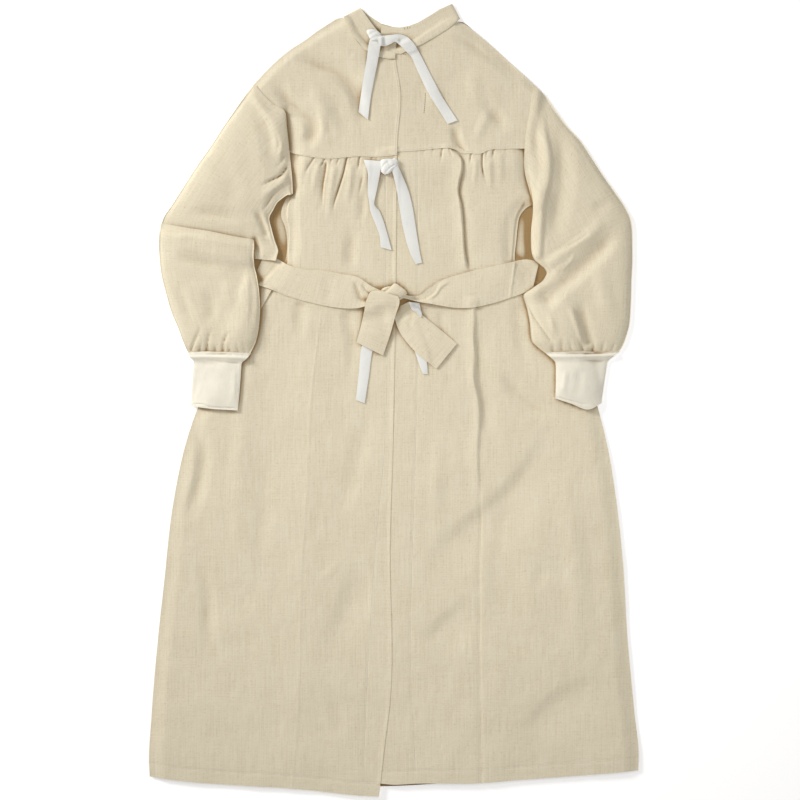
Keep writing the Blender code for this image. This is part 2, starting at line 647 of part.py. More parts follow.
def build_collar(pile):
    """The stand collar: one band, folded over itself at the two sides of the neck."""
    shares = (0.0, 0.33, 0.67, 1.0)
    outer = []
    inner = []
    for section in COLLAR:
        angle = math.pi * section.turn
        up = Vector((0.0, 0.0, math.cos(angle)))
        sideways = fold_side(section) * abs(math.sin(angle))
        normal = (up + sideways).normalized()
        bulge = sideways * LINEN * 0.75
        outer_line = []
        inner_line = []
        for share in shares:
            middle = place(section.u1 + (section.u2 - section.u1) * share,
                           section.v1 + (section.v2 - section.v1) * share,
                           section.height * MM) + bulge
            outer_line.append(middle + normal * LINEN / 2)
            inner_line.append(middle - normal * LINEN / 2)
        outer.append(outer_line)
        inner.append(inner_line)
    wall("collar_band", "linen", outer, inner, pile)


def fold_side(section):
    """The level direction out of the neck's middle, square to a fold of the collar."""
    edge = place(section.u2, section.v2) - place(section.u1, section.v1)
    side = edge.cross(Vector((0.0, 0.0, 1.0))).normalized()
    middle = place((section.u1 + section.u2) / 2, (section.v1 + section.v2) / 2)
    if side.dot(middle - place(400, 60)) < 0.0:
        side.negate()
    return side


def tube(name, finish, sections, columns, folds, thickness, pile, pressed=None):
    """A flattened sleeve of cloth: a lower wall on the pile and an upper wall over it."""
    grid = [[across(section, share) for share in columns] for section in sections]
    lows = pile.settle(grid, [[0.0 for _ in columns] for _ in sections])
    outer = []
    inner = []
    for section, points, floor in zip(sections, grid, lows):
        highs = []
        for share, (u, v), low in zip(columns, points, floor):
            puff = section.lift * MM * math.sin(math.pi * share) ** 0.5
            if pressed is not None and pressed(u, v):
                puff = 0.0
            gap = TUBE_EDGE_GAP + puff + relief(folds, u, v)
            gap = min(max(gap, TUBE_EDGE_GAP), TUBE_MOST_GAP)
            highs.append(low + 2.0 * thickness + gap)
        direction = (place(*points[-1]) - place(*points[0])).normalized()
        first = place(*points[0], (floor[0] + highs[0]) / 2)
        last = place(*points[-1], (floor[-1] + highs[-1]) / 2)
        inside = range(1, len(points) - 1)
        step = Vector((0.0, 0.0, thickness))
        under = [place(*points[k], floor[k]) for k in inside]
        over = [place(*points[k], highs[k]) for k in reversed(inside)]
        outer.append([first] + under + [last] + over + [first])
        inset = direction * thickness * 1.1
        inner.append([first + inset] + [point + step for point in under] + [last - inset]
                     + [point - step for point in over] + [first + inset])
    wall(name, finish, outer, inner, pile, tube=True)


def ribbon(name, finish, sections, steps, columns, thickness, pile):
    """A strip of belt or tape laid on the pile."""
    strip = between(sections, steps)
    grid = [[across(section, column / columns) for column in range(columns + 1)]
            for section in strip]
    heights = pile.settle(grid, [[0.0 for _ in line] for line in grid])
    for section, row in zip(strip, heights):
        for column in range(columns + 1):
            row[column] += section.lift * MM * math.sin(math.pi * (0.15 + 0.7 * column / columns))
    return lay_grid(name, finish, grid, heights, thickness, pile)


def knot(name, finish, shape, pile):
    """A knot as a rounded lump with a groove across it, on the pile."""
    bm = bmesh.new()
    bmesh.ops.create_uvsphere(bm, u_segments=16, v_segments=8, radius=1.0)
    turn = math.radians(shape.turn)
    for vertex in bm.verts:
        x, y, z = vertex.co
        groove = 1.0 - 0.16 * math.exp(-(x / 0.22) ** 2)
        u = shape.along * x
        v = shape.across * y * groove
        vertex.co = place(shape.u + u * math.cos(turn) - v * math.sin(turn),
                          shape.v + u * math.sin(turn) + v * math.cos(turn),
                          shape.height / 2 * z * groove)
    lift = max(pile.need(vertex.co.x, vertex.co.y, POINT_REACH) - vertex.co.z
               for vertex in bm.verts if vertex.co.z <= 0.0)
    bmesh.ops.translate(bm, verts=bm.verts[:], vec=(0.0, 0.0, lift))
    bmesh.ops.recalc_face_normals(bm, faces=bm.faces[:])
    bmesh.ops.triangulate(bm, faces=bm.faces[:])
    pile.add(bm)
    return finish_object(name, finish, bm)


def build_ties(pile):
    """The cotton tapes at the neck, the chest and the waist, and the belt tied over them."""
    ribbon("neck_tape_left", "cotton_tape", NECK_TAIL_LEFT, 2, 2, TAPE, pile)
    ribbon("neck_tape_right", "cotton_tape", NECK_BRIDGE, 2, 2, TAPE, pile)
    knot("neck_tape_knot", "cotton_tape", NECK_KNOT, pile)
    ribbon("chest_tape_left", "cotton_tape", CHEST_TAIL_LEFT, 2, 2, TAPE, pile)
    ribbon("chest_tape_right", "cotton_tape", CHEST_TAIL_RIGHT, 2, 2, TAPE, pile)
    knot("chest_tape_knot", "cotton_tape", CHEST_KNOT, pile)
    ribbon("waist_tape_left", "cotton_tape", WAIST_TAIL_LEFT, 2, 2, TAPE, pile)
    ribbon("waist_tape_right", "cotton_tape", WAIST_TAIL_RIGHT, 2, 2, TAPE, pile)
    ribbon("belt_left", "linen", BELT_LEFT, 2, 4, BELT, pile)
    ribbon("belt_right", "linen", BELT_RIGHT, 2, 4, BELT, pile)
    ribbon("belt_tail_right", "linen", BELT_TAIL_RIGHT, 2, 4, BELT, pile)
    ribbon("waist_tape_loop", "cotton_tape", WAIST_LOOP, 2, 2, TAPE, pile)
    ribbon("belt_tail_left", "linen", BELT_TAIL_LEFT, 2, 4, BELT, pile)
    knot("belt_knot", "linen", BELT_KNOT, pile)


def under_forearm(u, v):
    """Where the left upper arm's end runs on below the forearm."""
    return u > 256.0 and 236.0 < v < 262.0


def build_sleeves(pile):
    """The two full sleeves and their jersey cuffs, laid over the sides of the body."""
    tube("sleeve_left", "linen", SLEEVE_LEFT, TUBE_COLUMNS, SLEEVE_FOLDS_LEFT, LINEN, pile,
         under_forearm)
    tube("sleeve_right", "linen", SLEEVE_RIGHT, TUBE_COLUMNS, SLEEVE_FOLDS_RIGHT, LINEN, pile)
    tube("cuff_left", "jersey", CUFF_LEFT, CUFF_COLUMNS, (), JERSEY, pile)
    tube("cuff_right", "jersey", CUFF_RIGHT, CUFF_COLUMNS, (), JERSEY, pile)


def main():
    for old in list(bpy.data.objects):
        bpy.data.objects.remove(old)
    pile = Pile()
    build_back(pile)
    build_fronts(pile)
    build_collar(pile)
    build_ties(pile)
    build_sleeves(pile)


main()
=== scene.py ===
"""The looks of a linen medical smock that lies flat, opening side up.

Every piece of cloth is a thin shell, laid on the pieces under it in the order that they lie in.
Outlines and folds are drawn on a flat plan: its u runs to the right, its v down from the collar.
"""
import json
import math
from collections import namedtuple

import bmesh
import bpy
import numpy as np
from bpy.props import FloatProperty, FloatVectorProperty, IntProperty, PointerProperty
from mathutils import Matrix, Vector

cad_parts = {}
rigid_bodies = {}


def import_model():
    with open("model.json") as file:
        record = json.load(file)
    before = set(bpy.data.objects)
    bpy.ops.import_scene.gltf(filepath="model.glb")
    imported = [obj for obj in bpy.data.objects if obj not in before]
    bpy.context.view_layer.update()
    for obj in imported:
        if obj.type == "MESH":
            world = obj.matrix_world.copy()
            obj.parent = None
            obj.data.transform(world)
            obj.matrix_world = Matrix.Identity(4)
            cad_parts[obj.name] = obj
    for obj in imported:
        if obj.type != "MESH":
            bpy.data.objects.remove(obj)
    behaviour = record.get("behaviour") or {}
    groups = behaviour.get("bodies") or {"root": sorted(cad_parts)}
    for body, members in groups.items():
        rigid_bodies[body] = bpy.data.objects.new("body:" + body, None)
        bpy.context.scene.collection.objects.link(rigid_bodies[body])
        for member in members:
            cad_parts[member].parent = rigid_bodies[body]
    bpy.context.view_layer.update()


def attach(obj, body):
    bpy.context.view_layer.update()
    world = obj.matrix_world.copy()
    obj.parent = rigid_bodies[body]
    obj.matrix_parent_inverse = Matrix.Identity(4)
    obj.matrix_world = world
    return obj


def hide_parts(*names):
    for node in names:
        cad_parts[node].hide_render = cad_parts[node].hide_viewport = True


bl_info = {
    "name": "Medical smock",
    "version": (1, 0, 0),
    "blender": (4, 5, 0),
    "location": "3D View > Sidebar > Smock",
    "description": "Dresses a laid-out medical smock in linen, cotton tape and jersey",
    "category": "Object",
}

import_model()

MM = 0.001
PLAN_LENGTH = 792.6
PLAN_MIDDLE = (394.0, 399.9)
GARMENT_LENGTH = 1.268
UNIT = GARMENT_LENGTH / PLAN_LENGTH
# The attribute that holds the painted shade of each point of the cloth
GRAIN_LAYER = "UVMap"
PAINTED_SHADE_LAYER = "painted_shade"
PICTURE_SIDE = 800.0
PICTURE_MIDDLE = (400.0, 400.0)

# The raster of heights that stands for the cloth laid down so far, in plan units
RASTER_LOW = (130.0, -10.0)
RASTER_HIGH = (660.0, 820.0)
RASTER_CELL = 0.5

# A fold: its path, its reach to the two sides, its height in mm, how much of its length fades in
# and out, and whether it is a crease. On a path drawn downward, left is towards lower u; on one
# drawn to the right, left is below.
Fold = namedtuple("Fold", "path left right height fade_in fade_out crease")
# A line across a tube, and how far the upper wall stands off there, in mm
Row = namedtuple("Row", "path rise")
# An edge-to-edge section of a strip with the heights of its ends and its crown, in mm
Section = namedtuple("Section", "u1 v1 z1 u2 v2 z2 crown")

ARMHOLE_LEFT = ((253, 86), (271, 109), (279, 126), (282, 149), (286, 175), (289, 193))
ARMHOLE_RIGHT = ((537, 88), (532, 110), (528, 130), (527, 149), (529, 175), (536, 203))
SIDE_LEFT = ((289, 193), (287.5, 228), (286, 262), (250, 300), (225, 350), (199, 405),
             (187, 440), (174, 500), (164.5, 580), (157, 650), (151.5, 720), (149.3, 760),
             (150, 776))
SIDE_RIGHT = ((536, 203), (514, 222), (512, 262), (566, 300), (580, 350), (597, 405),
              (606, 440), (616, 500), (622.5, 560), (627.5, 640), (634, 710), (638.5, 755),
              (638, 770))
FRONT_SIDE_LEFT = ((289, 193), (283.5, 204), (281, 215), (285.4, 228), (285, 262)) + SIDE_LEFT[3:]
FRONT_SIDE_RIGHT = ((536, 203), (527, 207.5), (519.5, 217), (517.5, 228), (516.3, 240),
                    (515, 262)) + SIDE_RIGHT[3:]
BACK_SIDE_LEFT = ((253, 86), (262, 130), (262, 205), (250, 262), (240, 300), (219, 350),
                  (199, 405)) + SIDE_LEFT[6:]
BACK_SIDE_RIGHT = ((537, 88), (540, 130), (541, 205), (552, 262), (570, 300), (583, 350),
                   (597, 405)) + SIDE_RIGHT[6:]
BACK_NECK = ((344, 19.2), (355.5, 33.5), (376.5, 44.5), (400, 49.5), (430, 40.5),
             (446.5, 30.2), (459.3, 21.6))
BACK_TOP = ((253, 86), (272, 66), (288, 52), (306, 40), (323, 28)) + BACK_NECK + (
    (477, 34), (498, 52), (520, 72), (537, 88))
BACK_HEM = ((150, 775), (239, 782), (312, 785), (390, 785), (482, 779.5), (587, 774), (638, 769))
HEM_LEFT = ((150, 776), (177, 780), (239, 785), (292, 788), (312, 790), (360, 795), (379, 796))
HEM_RIGHT = ((372, 782), (394, 784), (415, 783), (481, 782.5), (512, 780), (546, 777.5),
             (605, 773), (638, 770))
OPENING_LEFT = ((397, 150), (396.5, 200), (395.5, 300), (393, 437), (390, 547), (390, 700),
                (384, 750), (379, 796))
OPENING_RIGHT = ((378, 149), (376, 300), (373, 437), (370, 700), (372, 782))
SKIRT_TOP_LEFT = ((282, 149), (292, 150.5), (305, 154), (316, 155.6), (327, 156.4),
                  (342, 155.6), (358, 154), (378, 154.5), (397, 150))
SKIRT_TOP_RIGHT = ((378, 149), (397, 149), (417, 148), (435, 146), (449, 145.5), (456, 147.5),
                   (462, 150.5), (480, 151), (488, 147.5), (505, 146), (527, 146))
YOKE_SEAM_LEFT = ((282, 149.5), (291, 153.3), (305, 156.8), (316, 158.4), (327, 159.4),
                  (342, 158.4), (358, 157), (378, 157.3), (397, 155.5))
YOKE_SEAM_RIGHT = ((378, 152), (397, 152), (417, 150.8), (435, 148.8), (449, 148.2),
                   (455, 149.6), (461, 153), (470, 153.3), (480, 153.6), (488, 150),
                   (505, 148.6), (527, 148))
YOKE_TOP_LEFT = ((253, 86), (272, 66), (288, 52), (306, 40), (323, 28), (343.5, 18.5),
                 (353, 36), (366, 51), (381, 58), (395.5, 60.5))
YOKE_TOP_RIGHT = ((378, 53), (402, 51.5), (419, 42.5), (436, 31), (455, 22), (461, 23), (477, 34),
                  (498, 52), (520, 72), (537, 88))
YOKE_OPENING_LEFT = ((395.5, 60.5), (400.5, 95), (397.5, 139), (397, 155.5))
YOKE_OPENING_RIGHT = ((378, 53), (378, 152))

GATHERS_LEFT = (
    Fold(((288, 152), (287, 160)), 2, 2, -0.7, 0, 0.8, True),
    Fold(((299, 153), (296, 162)), 2, 2, -0.8, 0, 0.8, True),
    Fold(((314, 158), (309, 166), (304.5, 175)), 2, 2.6, -2.2, 0, 0.5, True),
    Fold(((324.5, 159.5), (322.5, 164), (319.5, 168.5)), 2, 2.4, -2.2, 0, 0.5, True),
    Fold(((326.5, 162), (325.5, 172), (323.5, 183), (322, 214)), 6, 2.4, -3.2, 0.05, 0.6, True),
    Fold(((331.5, 160), (330, 166)), 1.8, 2, -1.4, 0, 0.7, True),
    Fold(((338.5, 159.5), (336, 167)), 1.8, 2, -1.6, 0, 0.7, True),
    Fold(((346.5, 158.5), (343.4, 173), (339, 187), (334.5, 202), (332.3, 214)), 1.8, 3.2, -3.4,
         0, 0.45, True),
    Fold(((350.5, 158.5), (349.5, 162)), 1.6, 1.8, -1.0, 0, 0.7, True),
    Fold(((359.5, 157.5), (357.5, 172)), 1.8, 2.4, -2.2, 0, 0.5, True),
    Fold(((363.5, 174), (361, 184), (358, 198)), 2, 3, -1.6, 0.3, 0.5, True),
    Fold(((372, 156), (371, 166)), 2, 2, -1.0, 0, 0.8, True),
    Fold(((306, 156), (300, 180), (298, 215)), 6, 5, 1.2, 0.1, 0.5, False),
    Fold(((319, 163), (315, 180), (312, 200)), 5, 5, 1.3, 0.1, 0.5, False),
    Fold(((335, 165), (331, 190), (328, 225)), 5, 5, 1.5, 0.1, 0.5, False),
    Fold(((352, 164), (350, 185), (346, 210)), 6, 5, 1.5, 0.1, 0.5, False),
    Fold(((367, 162), (364, 190)), 4, 4, 1.0, 0.1, 0.5, False),
    Fold(((362, 188), (362, 208), (360, 226)), 7, 6, -1.6, 0.4, 0.4, False),
)
FOLDS_LEFT = (
    Fold(((291, 150), (292, 170), (294, 200)), 13, 15, -4.4, 0.0, 0.3, False),
    Fold(((295, 186), (293, 215), (292.5, 262)), 6, 10, -1.5, 0.3, 0.2, False),
    Fold(((291, 195), (286.2, 208), (286, 218), (287.6, 229), (286.4, 263)), 12, 1.8, -3.0, 0.0,
         0.0, False),
    Fold(((353, 222), (351, 240), (349, 272)), 9, 11, -2.2, 0.5, 0.3, False),
    Fold(((322, 306), (311, 400), (307.5, 475), (301, 582), (299, 683), (293.6, 771),
          (292, 788)), 2.4, 2.2, 0.5, 0.05, 0, True),
    Fold(((318, 330), (308, 475), (300, 640), (293, 780)), 30, 34, 1.0, 0.1, 0, False),
    Fold(((197, 418), (202, 463), (193, 503), (180, 530)), 9, 13, -3.0, 0.3, 0.4, False),
    Fold(((198, 556), (208, 597), (210, 640), (228, 666)), 10, 13, -2.4, 0.4, 0.4, False),
    Fold(((365, 410), (361, 445), (351, 480), (335, 525)), 16, 14, -1.4, 0.3, 0.4, False),
    Fold(((362, 560), (347, 607), (329, 660)), 15, 34, -2.1, 0.4, 0.4, False),
    Fold(((318, 582), (342, 561)), 7, 7, 0.9, 0.4, 0.4, False),
    Fold(((250, 318), (246, 400), (240, 480), (238, 590)), 16, 20, 1.5, 0.3, 0.4, False),
    Fold(((272, 430), (262, 530), (258, 620)), 12, 14, -1.2, 0.4, 0.5, False),
    Fold(((330, 690), (345, 740)), 12, 14, -1.0, 0.4, 0.4, False),
    Fold(((300, 300), (297, 350)), 9, 11, -2.0, 0.1, 0.7, False),
    Fold(((345, 309), (352, 345), (350, 390)), 9, 11, -2.0, 0.1, 0.6, False),
)
GATHERS_RIGHT = (
    Fold(((424, 150), (422.5, 158)), 2, 2, -0.7, 0, 0.8, True),
    Fold(((433, 149), (431.5, 157)), 2, 2, -0.8, 0, 0.8, True),
    Fold(((442, 148.5), (440.3, 164)), 1.8, 2.2, -2.0, 0, 0.6, True),
    Fold(((449.5, 149), (460.5, 158), (461.4, 168), (458.8, 181), (457.5, 191), (460.5, 205),
          (462.3, 226), (464, 252), (467.4, 269), (471, 274)), 14, 1.8, 2.4, 0, 0.1, True),
    Fold(((451, 150), (462, 159), (463, 169), (460.4, 182), (459.1, 191), (462, 205.5),
          (463.9, 227), (465.6, 253), (470, 272)), 2.0, 12, -2.2, 0, 0.1, True),
    Fold(((449, 149.5), (453, 158)), 1.8, 2, -1.6, 0, 0.6, True),
    Fold(((471, 154), (469.5, 165)), 1.8, 2.2, -2.0, 0, 0.6, True),
    Fold(((482, 154), (482, 167), (485.5, 183)), 1.8, 2.6, -3.0, 0, 0.5, True),
    Fold(((486.5, 152), (485.5, 161)), 1.6, 1.8, -1.4, 0, 0.6, True),
    Fold(((493.5, 149), (492, 161)), 1.8, 2.2, -2.2, 0, 0.6, True),
    Fold(((506, 147), (504.5, 155)), 2, 2, -0.8, 0, 0.8, True),
    Fold(((476, 158), (474.5, 190)), 4, 4, 1.2, 0.1, 0.5, False),
    Fold(((489, 160), (491, 195)), 5, 5, 1.3, 0.1, 0.5, False),
    Fold(((500, 152), (500, 190)), 6, 6, 1.0, 0.1, 0.5, False),
)
FOLDS_RIGHT = (
    Fold(((520.5, 210), (517, 219), (515.8, 228), (514.8, 240), (513, 263)), 1.8, 12, -3.0, 0.0,
         0.0, False),
    Fold(((508, 205), (507, 262)), 10, 6, -1.2, 0.4, 0.2, False),
    Fold(((473, 300), (474.2, 322), (473, 340), (474.8, 354), (473.5, 380), (478, 400),
          (477, 457), (481, 507)), 14, 3.2, 2.3, 0.02, 0.2, True),
    Fold(((477, 440), (481, 507), (480, 567), (480, 660), (482, 783)), 7, 1.8, -1.0, 0.15, 0,
         True),
    Fold(((555, 420), (530, 467), (490, 510), (473, 523), (418, 582)), 13, 46, -3.0, 0.3, 0.4,
         False),
    Fold(((479, 595), (450, 620), (418, 649)), 12, 38, -2.2, 0.4, 0.4, False),
    Fold(((612, 678), (560, 700), (515, 746)), 15, 38, -2.3, 0.4, 0.4, False),
    Fold(((480, 318), (480, 380), (484, 402), (485, 455)), 7, 20, -2.2, 0.2, 0.4, False),
    Fold(((560, 460), (575, 560), (580, 660)), 18, 18, 2.0, 0.4, 0.4, False),
    Fold(((500, 372), (524, 400), (560, 418)), 12, 13, -2.8, 0.3, 0.4, False),
    Fold(((516, 468), (500, 560), (498, 640)), 18, 36, -1.6, 0.4, 0.4, False),
    Fold(((545, 560), (534, 592)), 10, 12, -1.1, 0.4, 0.4, False),
    Fold(((440, 420), (436, 500), (440, 560)), 10, 12, 1.0, 0.4, 0.4, False),
    Fold(((516, 300), (520, 340), (528, 380)), 9, 12, -1.6, 0.1, 0.6, False),
    Fold(((440, 310), (445, 352)), 8, 9, -1.0, 0.1, 0.7, False),
)
YOKE_FOLDS_LEFT = (
    Fold(((284, 104), (290, 124), (291, 154)), 11, 15, -3.8, 0.2, 0.0, False),
    Fold(((304, 86), (322, 104), (331, 130)), 13, 13, 2.4, 0.4, 0.4, False),
    Fold(((288, 54), (319, 66), (339, 75), (353, 90), (360, 108), (363, 140)), 10, 14, -4.6,
         0.3, 0.4, False),
    Fold(((276, 78), (284, 97), (298, 112), (311, 124), (310, 138), (298, 146)), 10, 12, -4.2,
         0.3, 0.2, False),
    Fold(((316, 106), (323, 124), (322, 138)), 4, 7, 1.4, 0.4, 0.3, False),
    Fold(((330, 48), (358, 66), (378, 104)), 11, 13, 1.6, 0.4, 0.4, False),
    Fold(((347, 57), (356, 49)), 3, 3, -0.7, 0.4, 0.4, True),
    Fold(((300, 100), (325, 112), (343, 138)), 9, 9, 1.2, 0.4, 0.4, False),
)
YOKE_FOLDS_RIGHT = (
    Fold(((450, 36), (476, 48), (506, 68), (526, 86)), 9, 12, -3.4, 0.3, 0.3, False),
    Fold(((482, 100), (494, 116), (508, 132)), 9, 12, -2.8, 0.4, 0.4, False),
    Fold(((472, 148), (484, 122), (498, 98)), 8, 8, 1.4, 0.4, 0.4, False),
    Fold(((451, 124), (456, 138), (461, 152)), 7, 9, -3.2, 0.4, 0.0, False),
    Fold(((430, 66), (436, 120)), 12, 12, 1.2, 0.4, 0.4, False),
    Fold(((470, 70), (478, 110)), 10, 12, 1.2, 0.4, 0.4, False),
)

# Sewn lines: they draw the cloth in a little
PLACKET_LEFT = ((385.5, 160), (385, 300), (385, 433), (375, 547), (368, 657), (363, 767))
PLACKET_RIGHT = ((417, 152), (417, 380), (413, 513), (410, 657), (415, 770))
SEWN_REACH = 1.8
SEWN_DEPTH = -0.6
HEM_DEPTH = 13.0
SEAM_INSET = 1.6
OPENING_INSET = 2.2
SEAM_GAP = 0.1 * MM
# The shoulders' edges, and how far inside an edge the fronts have risen to their height
SHOULDER_LEFT = ((253, 86), (272, 66), (288, 52), (306, 40), (343, 18))
SHOULDER_RIGHT = ((460.5, 22.5), (477, 34), (498, 52), (520, 72), (537, 88))
SHOULDER_REACH = 9.0
SIDE_REACH = 16.0
# How a front dips below the one that laps over it
LAP_START = 2.6
LAP_RUN = 3.0
LAP_STEP = 0.1 * MM
LAP_REACH = 1.5
# The fullness of the gathers below a yoke's seam, and the seed of the fronts' soft waves
BULGE = 1.6 * MM
BULGE_MIDDLE = 14.0
BULGE_REACH = 12.0
FRONT_SEED = 11
# The soft waves: the spacing of each size of wave and its share
WAVES = ((46.0, 1.0), (19.0, 0.5), (7.0, 0.16))
WAVE_LATTICE = 96
WAVE_START = 24.0
WAVE_HEIGHT = 1.6
WAVE_TURN = (0.94, 0.34)
# The share of the fronts' height that they have at their edges
EDGE_SHARE = 0.3
# The collar's grid: steps between two sections, points across and the middle one of them; the
# rows of points and of sections that are laid on the pile and sewn; how far a turn stands out
COLLAR_STEPS = 5
COLLAR_POINTS = 13
COLLAR_MIDDLE = 6
COLLAR_LAID = (slice(0, 26), slice(75, None))
COLLAR_SEWN = (slice(0, 5), slice(15, 22))
COLLAR_STITCH_ROWS = (0.1, 0.92)
COLLAR_WIDTH = 33 * MM
COLLAR_TURN = 1.6 * MM
COLLAR_SEED = 51
NECK_SPOT = (400.0, 60.0)
# A knot's grid, how its edges curl down, how far its height is pressed and its lowest height
KNOT_ROWS = 26
KNOT_COLUMNS = 16
KNOT_CURL = 1.2 * MM
KNOT_PRESS = 0.55
KNOT_REACH = 3.0
KNOT_LOWEST = 0.5 * MM
# A tube: the share of its length over which it leaves its first row, the widths over which its
# lower wall curls up and its folds begin, and the rises at which both are full, in mm
TUBE_START = 0.1
TUBE_CURL_WIDTH = 4.0
TUBE_FOLD_WIDTH = 5.0
TUBE_CURL_RISE = 8.0
TUBE_FOLD_RISE = 5.0
SLEEVE_START_REACH = 5.0
CUFF_ROWS = 64
CUFF_COLUMNS = 44
# Threads, and the share of a stitch's step that its thread takes
THREAD_WIDTH = 0.8 * MM
DARNING_WIDTH = 1.1 * MM
STITCH_SHARE = 0.7
STITCH_LIFT = 0.05 * MM
SHARP_ANGLE = math.radians(65)
SKIRTS = ("skirt_left_cloth", "skirt_right_cloth")
YOKES = ("yoke_left_cloth", "yoke_right_cloth")
# The lights: name, place, aim, side in metres, power in watts and colour
LIGHTS = (
    ("key", (-3.4, 2.3, 1.75), (0.0, 0.05, 0.0), 1.0, 156.0, (1.0, 0.985, 0.96)),
    ("fill", (0.16, -0.03, 1.15), (0.12, -0.03, 0.0), 0.8, 4.9, (1.0, 0.99, 0.97)),
)
WORLD_TINT = (1.0, 0.99, 0.975, 1.0)
WORLD_STRENGTH = 0.3
CAMERA_LENS = 100.0
FLOOR_HALF_SIDE = 6.0
FLOOR_HEIGHT = -0.2 * MM
# Painted shade: how far cloth lies below the cloth around it where it is painted darkest
CLOTH_SHADE_DROP = 3.2 * MM
BACK_SHADE_DROP = 0.75 * MM
CREASE_SHADE_DROP = 1.8 * MM
# The radii, in raster cells, within which the heights are averaged for the painted shade, and what
# each counts for
CALM_RADIUS = 30
WIDE_RADIUS = 12
NEAR_RADIUS = 3
WIDE_SHARE = 0.85
NEAR_SHARE = 0.4
SHADE_POWER = 1.8
# The brown that the painted shade turns the cloth's colour towards where it is darkest
PAINTED_SHADE_TINT = (0.46, 0.33, 0.19, 1.0)
# How much a small high piece, such as a knot, counts above the cloth around it in the painted shade
KNOT_LIMIT = 1.6 * MM
SLIT_MARK = ((425.2, 93.5), (424.7, 105.4), (423.8, 114))
NOTCH_MARKS = (((404.6, 28.2), (404.4, 30.4)), ((407.4, 27.6), (407.2, 29.8)),
               ((410, 27.2), (409.8, 29.6)), ((403, 54.6), (406.5, 55.6)))

# The left sleeve: the upper arm, whose end runs on below the forearm that is folded over it
UPPER_ARM_LEFT = (
    Row(((255, 84.8), (264, 95.5), (274, 105), (284.5, 111), (287, 127), (289, 145),
         (291, 165), (292.5, 181), (293, 194)), 0.1),
    Row(((251.8, 88.6), (261, 99.5), (270.5, 110), (281.5, 115.5), (284.8, 129), (287, 147),
         (289.2, 166), (291, 182), (292, 194.5)), 1.6),
    Row(((247, 94), (263, 110), (273, 125), (279.5, 142), (285.5, 168), (291, 195.3)), 5.0),
    Row(((237, 108), (268, 152), (288, 195.5)), 8.5),
    Row(((224, 127), (258, 164), (285, 197)), 11.0),
    Row(((211, 147), (248, 176), (281.5, 199.5)), 11.5),
    Row(((198, 165.5), (238, 187), (277.5, 203)), 11.5),
    Row(((186, 184), (230, 198), (273.5, 210)), 11.0),
    Row(((174, 203), (222, 211), (269.5, 219)), 10.0),
    Row(((163.5, 219), (218, 224), (272, 230)), 8.5),
    Row(((161, 228), (218, 236), (275, 241)), 5.5),
    Row(((168, 238), (220, 245), (278.3, 251)), 3.5),
    Row(((180, 246), (225, 252), (277, 257)), 3.0),
    Row(((186, 250), (228, 255), (276.4, 260)), 1.5),
    Row(((188, 251), (228, 256), (276, 261)), 0.3),
)
FOREARM_LEFT = (
    Row(((161.5, 223.5), (187, 228), (210, 231.5), (232, 236), (253.5, 239.6)), 0.5),
    Row(((160.8, 227), (186, 231.2), (210, 234.5), (232, 238.6), (254.3, 241.8)), 2.2),
    Row(((159.8, 234), (208, 241), (254.5, 247)), 5.0),
    Row(((159.2, 246), (207, 252), (254, 256)), 8.5),
    Row(((160.2, 262), (208, 264), (254.5, 265)), 10.5),
    Row(((162, 276), (209, 277), (257.5, 278)), 11.0),
    Row(((165.5, 290), (212, 290.5), (259.5, 291)), 11.5),
    Row(((171, 310), (216, 310), (260.5, 310)), 12.0),
    Row(((178, 327), (219, 327), (259.5, 326)), 12.0),
    Row(((184, 343), (220, 342.5), (256.5, 341)), 9.5),
    Row(((187.5, 351), (220, 350), (252, 351)), 6.0),
    Row(((189, 354), (220, 353), (250, 355)), 4.0),
)
SLEEVE_RIGHT = (
    Row(((533.6, 86.6), (530, 108), (526.2, 129), (524.3, 150), (524.5, 172), (529, 190),
         (532.5, 203)), 0.1),
    Row(((538, 89.4), (533.8, 110), (530, 130), (527.8, 150), (527.6, 174), (531, 192),
         (533, 205)), 1.4),
    Row(((545, 96), (538, 125), (533, 160), (531.5, 190), (533, 208)), 4.5),
    Row(((556, 112), (543, 152), (535, 190), (532.5, 214)), 8.0),
    Row(((567, 127), (548, 171), (532, 219)), 10.5),
    Row(((580, 141), (555, 184), (531.2, 226)), 11.5),
    Row(((592, 159), (561, 197), (530.8, 233)), 12.0),
    Row(((603, 176), (567, 209), (530.7, 240)), 12.0),
    Row(((615, 193), (573, 221), (530.8, 247)), 12.0),
    Row(((625, 208), (578, 231), (531.5, 253)), 12.0),
    Row(((631, 222), (582, 241), (534, 259.5)), 11.5),
    Row(((632.2, 236), (585, 250), (539, 264)), 11.5),
    Row(((632.2, 248), (589, 257), (544.5, 269)), 12.0),
    Row(((632.2, 260), (589, 266), (546.3, 273)), 12.0),
    Row(((631.7, 271), (588, 275.5), (543, 280)), 12.0),
    Row(((631.2, 282), (583, 285.5), (532, 288.5)), 12.5),
    Row(((631, 294), (577, 295.5), (523, 296)), 12.5),
    Row(((630.5, 306), (578, 307), (526.5, 308)), 12.5),
    Row(((629.5, 322), (579, 323), (529.5, 324)), 12.0),
    Row(((625.5, 338), (578, 339), (531, 340)), 10.0),
    Row(((621.5, 348), (581, 349.5), (540, 349.5)), 6.2),
    Row(((619, 351.5), (582, 352.5), (545, 353)), 4.0),
)
